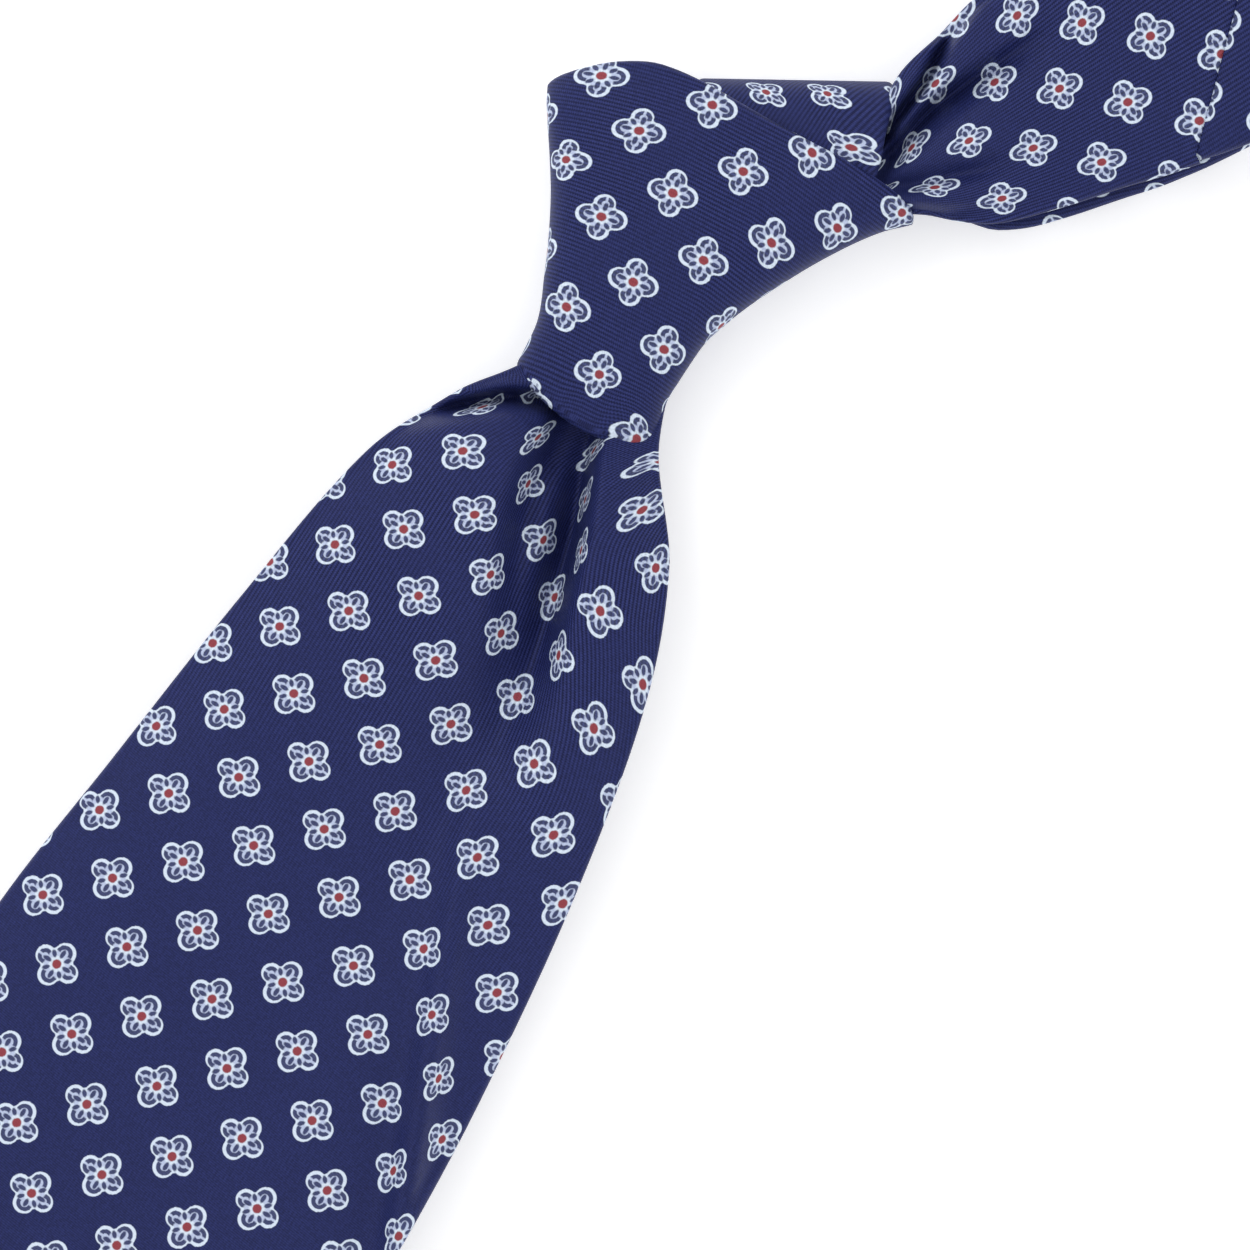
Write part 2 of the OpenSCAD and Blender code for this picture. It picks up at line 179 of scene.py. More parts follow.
def folded(x, y, z, s, t, th, x_in, place=None, flap_n=16):
    """The section loops of a panel that is folded to the back along both edges.

    x, y, z, s, t are (rows, columns) of the face from its left to its right fold; th is the panel's
    thickness and x_in the half width of the opening between the back flaps, one for each row.
    """
    rows_p, rows_uv = [], []
    for i in range(x.shape[0]):
        r = th[i] / 2
        turn = np.linspace(0, math.pi, ROLL_N + 2)[1:-1]
        flap = np.linspace(0, 1, flap_n) ** 1.2
        for side in (-1, 1):
            e = 0 if side < 0 else -1
            ex, ey, ez, es, et = x[i, e], y[i, e], z[i, e], s[i, e], t[i, e]
            rx = ex + side * r * np.sin(turn)
            rz = ez - r + r * np.cos(turn)
            inner = side * min(x_in[i], abs(ex) * 0.98)
            fx = ex + (inner - ex) * flap
            fy = np.interp(fx, x[i], y[i])
            # the flap keeps clear of the face where a fold is steep
            fz = np.min([np.interp(fx + d * r, x[i], z[i]) for d in (-1.5, -1.0, -0.5, 0, 0.5, 1.0, 1.5)],
                        0) - 2 * r
            ft = np.interp(fx, x[i], t[i])
            rs = es + side * r * turn
            fs = es + side * (math.pi * r + np.abs(fx - ex))
            part = (np.r_[rx, fx], np.r_[np.full(ROLL_N, ey), fy], np.r_[rz, fz],
                    np.r_[rs, fs], np.r_[np.full(ROLL_N, et), ft])
            if side < 0:
                left = [a[::-1] for a in part]
            else:
                right = part
        row = [np.r_[left[k], (x, y, z, s, t)[k][i], right[k]] for k in range(5)]
        rows_p.append(np.stack(row[:3], -1))
        rows_uv.append(np.stack(row[3:], -1))
    p, uv = np.array(rows_p), np.array(rows_uv)
    if place is not None:
        p = place(p)
    return p, uv


def loop_place(path, side=1.0):
    """Places (across, along, height) on a path in the neck loop's frame; height is outward."""
    ax_y = np.array([math.sin(LOOP_ANGLE), math.cos(LOOP_ANGLE)])
    ax_x = np.array([math.cos(LOOP_ANGLE), -math.sin(LOOP_ANGLE)])

    def place(p):
        across, along, h = p[..., 0], p[..., 1], p[..., 2]
        cy, cz, ny, nz = path(along)
        yy = cy + h * ny
        zz = cz + h * nz
        xy = LOOP_BASE + across[..., None] * ax_x * side + yy[..., None] * ax_y
        return np.concatenate([xy, zz[..., None]], -1)
    return place


def path_of(points):
    """A path in the YZ plane by its length, with its left-hand normal."""
    p = np.array(points, float)
    seg = np.hypot(*np.diff(p, axis=0).T)
    cum = np.r_[0, np.cumsum(seg)]
    tan = np.gradient(p, cum, axis=0)
    tan /= np.hypot(tan[:, 0], tan[:, 1])[:, None]

    def f(a):
        y, z = np.interp(a, cum, p[:, 0]), np.interp(a, cum, p[:, 1])
        ty, tz = np.interp(a, cum, tan[:, 0]), np.interp(a, cum, tan[:, 1])
        n = np.hypot(ty, tz)
        return y, z, -tz / n, ty / n
    return f, cum[-1]


def tube(points, radius, sides=8, closed=False):
    """Vertices and faces of a round thread through points, in mm."""
    p = np.array(points, float)
    tan = np.gradient(p, axis=0) if not closed else np.roll(p, -1, 0) - np.roll(p, 1, 0)
    tan /= np.linalg.norm(tan, axis=1)[:, None] + 1e-12
    up = np.array([0.0, 0.0, 1.0])
    verts = []
    for k in range(len(p)):
        a = np.cross(tan[k], up)
        if np.linalg.norm(a) < 1e-3:
            a = np.cross(tan[k], [1.0, 0, 0])
        a /= np.linalg.norm(a)
        b = np.cross(a, tan[k])
        taper = 1.0 if closed or 0 < k < len(p) - 1 else 0.35
        for q in range(sides):
            w = 2 * math.pi * q / sides
            verts.append(p[k] + radius * taper * (math.cos(w) * a + math.sin(w) * b))
    faces = []
    n = len(p)
    for k in range(n if closed else n - 1):
        k2 = (k + 1) % n
        for q in range(sides):
            q2 = (q + 1) % sides
            faces.append((k2 * sides + q, k2 * sides + q2, k * sides + q2, k * sides + q))
    if not closed:
        faces.append(tuple(range(sides)))
        faces.append(tuple((n - 1) * sides + q for q in range(sides - 1, -1, -1)))
    return verts, faces


def threads(name, lines, radius, sides=8):
    """One object from many threads; each line is a list of points, or (points, True) for a ring."""
    verts, faces = [], []
    for line in lines:
        ring = isinstance(line, tuple)
        v, f = tube(line[0] if ring else line, radius, sides, ring)
        base = len(verts)
        verts += [q * MM for q in v]
        faces += [tuple(base + k for k in face) for face in f]
    me = bpy.data.meshes.new(name)
    me.from_pydata([tuple(v) for v in verts], [], faces)
    me.polygons.foreach_set("use_smooth", [True] * len(me.polygons))
    obj = bpy.data.objects.new(name, me)
    bpy.context.scene.collection.objects.link(obj)
    return obj


# ------------------------------------------------------------------ materials

class Nodes:
    """Short calls that add shader nodes to one material."""

    def __init__(self, name):
        self.mat = bpy.data.materials.new(name)
        self.mat.use_nodes = True
        self.tree = self.mat.node_tree
        self.tree.nodes.clear()
        self.out = self.tree.nodes.new("ShaderNodeOutputMaterial")

    def put(self, socket, value):
        if isinstance(value, bpy.types.NodeSocket):
            self.tree.links.new(value, socket)
        else:
            socket.default_value = value

    def math(self, op, a, b=0.0, c=0.0, clamp=False):
        n = self.tree.nodes.new("ShaderNodeMath")
        n.operation = op
        n.use_clamp = clamp
        for k, v in enumerate((a, b, c)):
            self.put(n.inputs[k], v)
        return n.outputs[0]

    def step(self, value, low, high, a=0.0, b=1.0):
        """Goes smoothly from a to b as value goes from low to high."""
        n = self.tree.nodes.new("ShaderNodeMapRange")
        n.interpolation_type = "SMOOTHSTEP"
        self.put(n.inputs["Value"], value)
        for key, v in (("From Min", low), ("From Max", high), ("To Min", a), ("To Max", b)):
            self.put(n.inputs[key], v)
        return n.outputs["Result"]

    def noise(self, vector, scale, detail=2.0, rough=0.5, out="Fac"):
        n = self.tree.nodes.new("ShaderNodeTexNoise")
        self.put(n.inputs["Vector"], vector)
        n.inputs["Scale"].default_value = scale
        n.inputs["Detail"].default_value = detail
        n.inputs["Roughness"].default_value = rough
        return n.outputs[out]

    def mix(self, fac, a, b):
        n = self.tree.nodes.new("ShaderNodeMix")
        n.data_type = "RGBA"
        self.put(n.inputs["Factor"], fac)
        self.put(n.inputs["A"], a if isinstance(a, bpy.types.NodeSocket) else (*a, 1.0))
        self.put(n.inputs["B"], b if isinstance(b, bpy.types.NodeSocket) else (*b, 1.0))
        return n.outputs["Result"]

    def scaled(self, colour, amount):
        n = self.tree.nodes.new("ShaderNodeVectorMath")
        n.operation = "SCALE"
        self.put(n.inputs[0], colour)
        self.put(n.inputs["Scale"], amount)
        return n.outputs[0]

    def uv(self):
        n = self.tree.nodes.new("ShaderNodeUVMap")
        n.uv_map = "weave"
        return n.outputs["UV"]

    def coords(self):
        n = self.tree.nodes.new("ShaderNodeTexCoord")
        return n.outputs["Object"]

    def split(self, vector):
        n = self.tree.nodes.new("ShaderNodeSeparateXYZ")
        self.put(n.inputs[0], vector)
        return n.outputs[0], n.outputs[1], n.outputs[2]

    def join(self, x, y, z=0.0):
        n = self.tree.nodes.new("ShaderNodeCombineXYZ")
        for k, v in enumerate((x, y, z)):
            self.put(n.inputs[k], v)
        return n.outputs[0]

    def bump(self, height, distance, strength=1.0, normal=None):
        n = self.tree.nodes.new("ShaderNodeBump")
        n.inputs["Strength"].default_value = strength
        n.inputs["Distance"].default_value = distance
        self.put(n.inputs["Height"], height)
        if normal is not None:
            self.put(n.inputs["Normal"], normal)
        return n.outputs["Normal"]

    def finish(self, colour, roughness, normal, sheen=0.0, sheen_tint=(1, 1, 1), specular=0.5,
               sheen_rough=0.4, glow=0.0):
        n = self.tree.nodes.new("ShaderNodeBsdfPrincipled")
        self.put(n.inputs["Base Color"], colour if isinstance(colour, bpy.types.NodeSocket)
                 else (*colour, 1.0))
        self.put(n.inputs["Roughness"], roughness)
        if normal is not None:
            self.put(n.inputs["Normal"], normal)
        n.inputs["Sheen Weight"].default_value = sheen
        n.inputs["Sheen Roughness"].default_value = sheen_rough
        n.inputs["Sheen Tint"].default_value = (*sheen_tint, 1.0)
        n.inputs["Specular IOR Level"].default_value = specular
        n.inputs["Emission Strength"].default_value = glow
        self.tree.links.new(n.outputs[0], self.out.inputs["Surface"])
        return self.mat


def srgb(r, g, b):
    return tuple((c / 255 / 12.92) if c / 255 <= 0.04045 else ((c / 255 + 0.055) / 1.055) ** 2.4
                 for c in (r, g, b))


NAVY_LIGHT = srgb(47, 55, 111)
NAVY_DARK = srgb(11, 16, 54)
WHITE_PRINT = srgb(218, 231, 247)
PALE_PRINT = srgb(160, 170, 212)
RED_PRINT = srgb(140, 16, 30)


WALE_CONTRAST = 0.85


def silk():
    """Navy silk twill with the printed flower, drawn from the weave's own coordinates in mm."""
    n = Nodes("printed silk twill")
    uv = n.scaled(n.uv(), 1000.0)
    ragged = n.noise(uv, 2.6, 2.0)
    s, t, _ = n.split(uv)
    wob = n.math("MULTIPLY_ADD", ragged, 0.16, -0.08)
    sx = n.math("DIVIDE", n.math("ADD", s, wob), HALF_PITCH)
    ty = n.math("DIVIDE", n.math("SUBTRACT", t, wob), HALF_PITCH)
    # one flower at each corner where both steps are even or both odd
    p = n.math("MULTIPLY", n.math("ADD", sx, ty), 0.5)
    q = n.math("MULTIPLY", n.math("SUBTRACT", sx, ty), 0.5)
    fp = n.math("SUBTRACT", p, n.math("ROUND", p))
    fq = n.math("SUBTRACT", q, n.math("ROUND", q))
    lx = n.math("MULTIPLY", n.math("ADD", fp, fq), HALF_PITCH / MOTIF)
    ly = n.math("MULTIPLY", n.math("SUBTRACT", fp, fq), HALF_PITCH / MOTIF)
    def turned(angle):
        c, w = math.cos(math.radians(angle)), math.sin(math.radians(angle))
        x = n.math("SUBTRACT", n.math("MULTIPLY", lx, c), n.math("MULTIPLY", ly, w))
        y = n.math("ADD", n.math("MULTIPLY", lx, w), n.math("MULTIPLY", ly, c))
        return n.math("ABSOLUTE", x), n.math("ABSOLUTE", y)

    def away(x, y, cx, cy, kx=1.0, ky=1.0):
        """Distance from (cx, cy), in units of kx and ky."""
        ex = n.math("DIVIDE", n.math("SUBTRACT", x, cx), kx)
        ey = n.math("DIVIDE", n.math("SUBTRACT", y, cy), ky)
        return n.math("SQRT", n.math("ADD", n.math("MULTIPLY", ex, ex), n.math("MULTIPLY", ey, ey)))

    # outline: two long lobes, two broad ones and the middle between them
    ox, oy = turned(8.0)
    long_r, broad_r = away(ox, oy, 1.86, 0.0), away(ox, oy, 0.0, 1.58)
    lobes = n.math("SMOOTH_MIN", n.math("SUBTRACT", long_r, 1.24), n.math("SUBTRACT", broad_r, 1.38), 0.2)
    out_d = n.math("SMOOTH_MIN", lobes, n.math("SUBTRACT", away(ox, oy, 0.0, 0.0), 2.02), 0.25)
    flower = n.step(out_d, -0.07, 0.07, 1.0, 0.0)
    # dark crescents inside the lobes; the long lobes have a light rib between theirs
    cx_, cy_ = turned(4.0)
    ring_l, ring_b = away(cx_, cy_, 1.80, 0.0, 1.0, 1.0), away(cx_, cy_, 0.0, 1.52)
    arc_l = n.math("MULTIPLY", n.step(ring_l, 0.36, 0.50), n.step(ring_l, 0.89, 1.02, 1.0, 0.0))
    arc_l = n.math("MULTIPLY", n.math("MULTIPLY", arc_l, n.step(cx_, 1.35, 1.65)), n.step(cy_, 0.06, 0.22))
    arc_b = n.math("MULTIPLY", n.step(ring_b, 0.46, 0.60), n.step(ring_b, 1.00, 1.12, 1.0, 0.0))
    arc_b = n.math("MULTIPLY", arc_b, n.step(cy_, 1.30, 1.55))
    # eight petals around the middle
    px_, py_ = turned(0.0)
    big, small = n.math("MAXIMUM", px_, py_), n.math("MINIMUM", px_, py_)
    dia = n.math("MULTIPLY", n.math("ADD", big, small), 0.7071)
    off = n.math("MULTIPLY", n.math("SUBTRACT", big, small), 0.7071)
    petal = n.math("MINIMUM", away(big, small, 1.40, 0.0, 0.58, 0.29), away(dia, off, 1.38, 0.0, 0.50, 0.28))
    radius = away(px_, py_, 0.0, 0.0)
    dark = n.math("MAXIMUM", n.math("MAXIMUM", arc_l, arc_b), n.step(petal, 0.72, 1.28, 1.0, 0.0), clamp=True)
    light = n.math("MULTIPLY", flower, n.math("MULTIPLY_ADD", dark, -0.93, 1.0))
    centre = n.step(radius, 0.48, 0.68, 1.0, 0.0)
    pale = n.math("MULTIPLY", n.math("MULTIPLY", n.step(out_d, -0.50, -0.30, 1.0, 0.0),
                                     n.step(radius, 0.85, 1.15)), 0.55)
    print_white = n.mix(pale, WHITE_PRINT, PALE_PRINT)

    # the twill: fine wales along the tie, crossed by the weft
    wale_s = n.math("MULTIPLY_ADD", t, 0.05, s)
    weft = n.math("MULTIPLY", n.math("SINE", n.math("MULTIPLY", t, 2 * math.pi / 0.30)), 0.55)
    wale = n.math("SINE", n.math("ADD", n.math("MULTIPLY", wale_s, 2 * math.pi / 0.58), weft))
    wale01 = n.math("MULTIPLY_ADD", wale, 0.5, 0.5)
    pick = n.math("SINE", n.math("MULTIPLY", n.math("MULTIPLY_ADD", s, 0.12, t), 2 * math.pi / 0.29))
    pick01 = n.math("MULTIPLY_ADD", pick, 0.5, 0.5)
    cell = n.tree.nodes.new("ShaderNodeTexWhiteNoise")
    n.put(cell.inputs["Vector"], n.join(n.math("FLOOR", n.math("DIVIDE", s, 0.29)),
                                        n.math("FLOOR", n.math("DIVIDE", t, 0.24))))
    weft_float = cell.outputs["Value"]
    fine = n.noise(n.join(n.math("MULTIPLY", s, 4.2), n.math("MULTIPLY", t, 3.0)), 1.0, 4.0, 0.75)
    cloudy = n.noise(uv, 0.06, 2.0)
    # the wales stand out in some places and the picks in others
    ribbed = n.math("MULTIPLY", n.step(cloudy, 0.36, 0.60, 0.55, 1.0), n.step(t, 15.0, 70.0, 0.14, 1.0))
    weave = n.math("ADD", n.math("MULTIPLY", n.math("SUBTRACT", wale01, 0.5), ribbed),
                   n.math("MULTIPLY", n.math("SUBTRACT", pick01, 0.5), 0.36))
    navy = n.mix(n.math("MULTIPLY_ADD", weave, WALE_CONTRAST, 0.5, clamp=True), NAVY_DARK, NAVY_LIGHT)
    tone = n.math("ADD", n.math("MULTIPLY_ADD", cloudy, 0.12, 0.49),
                  n.math("ADD", n.math("MULTIPLY", fine, 0.60), n.math("MULTIPLY", weft_float, 0.30)))
    navy = n.scaled(navy, tone)
    worn = n.math("MULTIPLY_ADD", weave, 0.16, n.math("MULTIPLY_ADD", fine, 0.50, 0.68))
    colour = n.mix(light, navy, n.scaled(print_white, n.math("MINIMUM", worn, 1.05)))
    colour = n.mix(n.math("MULTIPLY", centre, 0.94), colour, n.scaled(n.mix(0.0, RED_PRINT, RED_PRINT), worn))
    height = n.math("ADD", weave, n.math("MULTIPLY", fine, 0.6))
    normal = n.bump(height, 0.00006, 0.55)
    rough = n.math("MULTIPLY_ADD", fine, 0.16, n.math("MULTIPLY_ADD", light, 0.06, 0.44))
    return n.finish(colour, rough, normal, sheen=0.05, sheen_tint=srgb(150, 165, 225), specular=0.14,
                    sheen_rough=0.35)


def lining():
    """Plain lining satin, with fine warp lines and soft streaks."""
    n = Nodes("lining satin")
    uv = n.scaled(n.uv(), 1000.0)
    s, t, _ = n.split(uv)
    warp = n.math("SINE", n.math("MULTIPLY", n.math("ADD", s, t), 2 * math.pi / 0.36))
    weft = n.math("SINE", n.math("MULTIPLY", n.math("SUBTRACT", s, t), 2 * math.pi / 0.42))
    warp01 = n.math("MULTIPLY_ADD", warp, 0.5, 0.5)
    streak = n.noise(n.join(n.math("MULTIPLY", n.math("ADD", s, t), 1.3),
                            n.math("MULTIPLY", n.math("SUBTRACT", s, t), 0.06)), 1.0, 3.0)
    colour = n.mix(warp01, srgb(22, 26, 62), srgb(40, 46, 94))
    colour = n.scaled(colour, n.math("MULTIPLY_ADD", streak, 0.7, 0.65))
    height = n.math("ADD", warp01, n.math("MULTIPLY", weft, 0.35))
    return n.finish(colour, n.math("MULTIPLY_ADD", streak, 0.2, 0.30), n.bump(height, 0.00004, 0.6),
                    sheen=0.2, sheen_tint=srgb(120, 130, 200), specular=0.5)


def wool():
    """Brushed wool interlining."""
    n = Nodes("brushed wool")
    p = n.coords()
    fuzz = n.noise(p, 2600.0, 4.0, 0.7)
    patch = n.noise(p, 260.0, 3.0)
    colour = n.mix(patch, srgb(205, 196, 176), srgb(236, 230, 214))
    colour = n.scaled(colour, n.math("MULTIPLY_ADD", fuzz, 0.4, 0.75))
    return n.finish(colour, 0.95, n.bump(fuzz, 0.0003, 0.8), sheen=0.5, sheen_rough=0.6, specular=0.1)


def thread(name, light, dark):
    """Twisted sewing thread."""
    n = Nodes(name)
    p = n.coords()
    x, y, z = n.split(p)
    twist = n.math("SINE", n.math("MULTIPLY", n.math("ADD", n.math("ADD", x, y), z), 2 * math.pi / 0.00028))
    fibre = n.noise(p, 9000.0, 2.0)
    colour = n.mix(n.math("MULTIPLY_ADD", twist, 0.3, n.math("MULTIPLY", fibre, 0.7)), dark, light)
    return n.finish(colour, n.math("MULTIPLY_ADD", fibre, 0.2, 0.42), n.bump(twist, 0.00003, 0.7),
                    sheen=0.2, specular=0.45)


def label_satin():
    """Blank woven label, with a woven border and fine satin lines."""
    n = Nodes("label satin")
    uv = n.scaled(n.uv(), 1000.0)
    s, t, _ = n.split(uv)
    line = n.math("SINE", n.math("MULTIPLY", t, 2 * math.pi / 0.30))
    line01 = n.math("MULTIPLY_ADD", line, 0.5, 0.5)
    grain = n.noise(n.join(n.math("MULTIPLY", s, 5.0), n.math("MULTIPLY", t, 0.8)), 1.0, 3.0)
    colour = n.mix(line01, srgb(196, 199, 208), srgb(232, 234, 240))
    colour = n.scaled(colour, n.math("MULTIPLY_ADD", grain, 0.25, 0.82))
    return n.finish(colour, n.math("MULTIPLY_ADD", grain, 0.2, 0.34), n.bump(line01, 0.00003, 0.6),
                    sheen=0.1, specular=0.5)


SILK = silk()
LINING = lining()
WOOL = wool()
THREAD = thread("navy thread", srgb(62, 68, 122), srgb(28, 32, 72))
LABEL = label_satin()


def dress(obj, mat, body=None):
    """Gives a piece its material and, if a body is named, attaches the piece to that body."""
    obj.data.materials.clear()
    obj.data.materials.append(mat)
    if body:
        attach(obj, body)
    return obj


# ------------------------------------------------------------------ front panel

# The two folds of the gathered cloth: (y, x) from the flat blade up into the knot.
FOLD_LEFT = smooth([(-143, -33.4), (-116, -32.7), (-90, -29.8), (-64, -26.6), (-40, -22.6), (-27, -16.6),
                    (-18, -10.8), (-9, -9.4)])
FOLD_RIGHT = smooth([(-143, 34.8), (-116, 34.1), (-89, 31.8), (-61, 27.6), (-46, 24.0), (-32, 18.2),
                     (-19, 8.8),
                     (-10, 5.6), (-2, 3.6)])
CLOTH = 1.05            # millimetres of weave to one of the face, which the press has drawn in a little
STRAIGHT_COLUMN = 0.285  # the weave's s = 0 keeps this share of the way to the left fold
DRAWN_UP = 7.6          # how far the knot draws the right side up


def row_y(t):
    """Where the weave's row t lies on the left side: rows close up a little as the cloth climbs."""
    return -116.4 + 0.985 * t - 0.00037 * t * t


def drawn_up(t, u):
    """How much further up the row is at u across, from 0 at the left fold to 1 at the right one."""
    share = float(ease((t - 20) / 75)) * (1 - 0.22 * float(ease((t - 74) / 22)))
    return DRAWN_UP * share * np.clip((u - 0.37) / 0.60, 0, 1.05) ** 1.35


CREST = smooth([(-143, front_floor(-143.0) + BLADE_T), (-116, 10.5), (-100, 11.4), (-84, 12.6), (-68, 14.4),
                (-54, 16.3),
                (-42, 17.9), (-33, 18.2), (-27, 16.8), (-22, 13.6), (-18, 11.2), (-8, 11.0)])
EDGE_DROP = smooth([(-143, 2.2), (-116, 2.4), (-84, 3.4), (-54, 4.8), (-33, 5.6), (-24, 4.2), (-18, 1.2),
                    (-8, 1.0)])
EDGE_POWER = smooth([(-143, 5.0), (-84, 4.5), (-54, 4.0), (-33, 3.2), (-18, 2.5)])
# the dimple: a deep main valley with a small one that joins it from the left
V1_X = smooth([(-130, 9.5), (-90, 10.0), (-60, 10.4), (-54, 9.9), (-49, 8.8), (-44, 7.5), (-39, 6.2),
               (-35, 5.0),
               (-31, 3.4), (-23, 0.4), (-14, -1.0)])
V1_D = smooth([(-150, 0.0), (-116, 0.35), (-95, 0.9), (-75, 2.5), (-60, 5.2), (-50, 8.2), (-42, 10.6),
               (-34, 11.5), (-27, 10.1),
               (-22, 6.6), (-18, 3.2), (-8, 1.0)])
V1_L = smooth([(-116, 14.0), (-80, 10.0), (-60, 7.0), (-48, 5.2), (-38, 4.6), (-24, 4.8)])
V1_R = smooth([(-116, 10.0), (-80, 7.0), (-60, 4.2), (-48, 2.7), (-38, 2.0), (-24, 1.8)])
V2_X = smooth([(-56, 6.6), (-48, 3.4), (-42, 1.0), (-36, -1.2), (-31, -2.2), (-25, -3.0), (-20, -3.4)])
V2_D = smooth([(-60, 0.0), (-52, 0.7), (-44, 2.6), (-36, 4.8), (-29, 5.2), (-24, 3.2), (-20, 1.0),
               (-16, 0.0)])
# the crease under the rolled left edge
ROLL_Y = smooth([(-22, -35.0), (-17.8, -30.8), (-15.0, -27.8), (-10.7, -24.2), (-6.1, -22.0), (-3, -20.6)])
ROLL_D = smooth([(-23, 0.0), (-18.5, 3.4), (-13.3, 7.0), (-8, 7.2), (-4, 3.4), (-1, 0.0)])


def front_top(x, y, u):
    """Height of the front panel's face; u runs from -1 at its left fold to 1 at its right one."""
    z = CREST(y) - EDGE_DROP(y) * np.abs(u) ** EDGE_POWER(y)
    q = x - V1_X(y)
    w = np.where(q < 0, V1_L(y), V1_R(y))
    z = z - V1_D(y) * np.exp(-np.abs(q / w) ** np.where(q < 0, 1.6, np.interp(y, [-70, -42], [1.45, 2.4])))
    z = z - V2_D(y) * np.exp(-((x - V2_X(y)) / 2.3) ** 2)
    gap = (y - ROLL_Y(x)) * 0.8
    near = np.exp(-np.abs(gap / np.where(gap < 0, 1.5, 0.7)) ** 1.8) * (y < -17) * (x < 0)
    z = z - np.clip(ROLL_D(x), 0, None) * near
    # the small unevenness of pressed cloth
    return z + ripple(x, y)


def ripple(x, y):
    return 0.10 * np.sin(x / 9.0 + y / 31.0) * np.sin(y / 17.0 + 0.6) + 0.05 * np.sin(x / 4.1 - y / 7.0 + 1.0)


def front_grid():
    """Face of the front panel as (x, y, s, t), from inside the knot to the point."""
    m = 92
    t_near = np.linspace(111.0, -27.0, 128)
    u = np.linspace(0, 1, m)
    u = u + 0.035 * np.sin(2 * math.pi * u)          # closer columns near both folds
    xs, ys, ss, ts = [], [], [], []
    for t in t_near:
        y = row_y(t) + drawn_up(t, u)
        left, right = float(FOLD_LEFT(y[0])), float(FOLD_RIGHT(y[-1]))
        x = left + (right - left) * u
        # cloth doesn't stretch, so the weave runs on with the length of the folded section
        z = front_top(x, y, 2 * u - 1)
        arc = np.r_[0, np.cumsum(np.hypot(np.diff(x), np.diff(z)))]
        xs.append(x)
        ys.append(y)
        ss.append(CLOTH * (arc - np.interp(STRAIGHT_COLUMN * left, x, arc)))
        ts.append(np.full(m, t))
    # the flat blade, down to the shoulders and the square point
    y_join = -143.0
    s_mid = np.interp(0.7, xs[-1], ss[-1])
    y_far = np.r_[np.linspace(y_join - 3.5, FRONT_TIP + 48, 74),
                  np.linspace(FRONT_TIP + 45, FRONT_TIP + 0.9, 34),
                  FRONT_TIP + 0.35]
    for y in y_far:
        body = float(front_half(y)) + 0.1
        point = max(y - FRONT_TIP, 0.0)
        k = 7.0
        half = body if point > body + 3 else -math.log(math.exp(-body * k) + math.exp(-point * k)) / k \
            if max(body, point) * k < 600 else min(body, point)
        shift = 0.7 * float(ease((y + 260) / 120))
        x = shift + half * (2 * u - 1)
        xs.append(x)
        ys.append(np.full(m, y))
        ss.append(s_mid + (x - shift) * CLOTH)
        ts.append(np.full(m, -27.0 + (y - y_join) * 1.01))
    return (np.array(a) for a in (xs, ys, ss, ts))


FX, FY, FS, FT = front_grid()
front_th = np.interp(FY[:, 46], [FRONT_TIP, FRONT_TIP + 6, -100, -60, -38, -20],
                     [1.6, 2.7, 2.6, 2.0, 1.5, 1.4])
order = np.argsort(FY[:, 0])
# pull the face in by the radius of its rolled edges; the outline and the weave stay where they are
mid = (FX[:, :1] + FX[:, -1:]) / 2
halfw = (FX[:, -1:] - FX[:, :1]) / 2
pulled = mid + (FX - mid) * np.clip(1 - (front_th[:, None] / 2) / np.maximum(halfw, 0.2), 0.2, 1)
for i in range(len(FX)):
    FY[i] = np.interp(pulled[i], FX[i], FY[i])
    FS[i] = np.interp(pulled[i], FX[i], FS[i])
FX = pulled
across = np.clip((FX - mid) / np.maximum(halfw, 0.3), -1, 1)

overhang = np.clip((np.abs(FX) - 17.0) / 22.0, 0, 1)
far_floor = front_floor(FY)
sag = np.minimum(3.2, np.clip(far_floor - 0.5, 0, None)) * overhang ** 2
far_z = far_floor + front_th[:, None] + 0.45 - sag - 0.25 * np.abs(across) ** 8
far_z = far_z + ripple(FX, FY) * np.clip((FY - FRONT_TIP) / 40, 0.1, 1)
near = ease((FY + 165) / 45)
FZ = far_z * (1 - near) + front_top(FX, FY, across) * near

low = FRONT_TIP + HEM * math.sqrt(2)
mid_y = (FRONT_TIP + FRONT_W + low) / 2
y_row = FY[:, 0]
x_in = np.where(y_row > mid_y, np.clip(FRONT_TIP + FRONT_W - y_row, 0.35, None),
                np.clip(y_row - low, 0.02, None))
x_in = np.where(y_row < low, 0.02, x_in)
pos, uv = folded(FX, FY, FZ, FS, FT, front_th, x_in, flap_n=60)
front_cloth = thicken(grid_mesh("front_cloth", pos[::-1], uv[::-1]), 0.34)
dress(front_cloth, SILK)
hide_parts("front_shell", "front_gather", "knot_drop")


def front_back(x, y):
    """Underside of the front blade."""
    k = np.interp(y, FY[order, 46], np.arange(len(order)))
    i = int(round(float(k)))
    row = order[i]
    return float(np.interp(x, FX[row], FZ[row])) - front_th[row]


def inner_sheet(name, y0, y1, n, margin, lift, t):
    """A flat layer inside the front blade, following its back."""
    rows_p, rows_uv = [], []
    for y in np.linspace(y0, y1, n):
        half = min(float(front_half(y)), y - FRONT_TIP) - margin
        xs = np.linspace(-half, half, 30)
        z = [front_back(x, y) + lift for x in xs]
        rows_p.append(np.stack([xs, np.full(30, y), z], -1))
        rows_uv.append(np.stack([xs, np.full(30, y)], -1))
    return thicken(grid_mesh(name, np.array(rows_p), np.array(rows_uv)), t, 1.0)


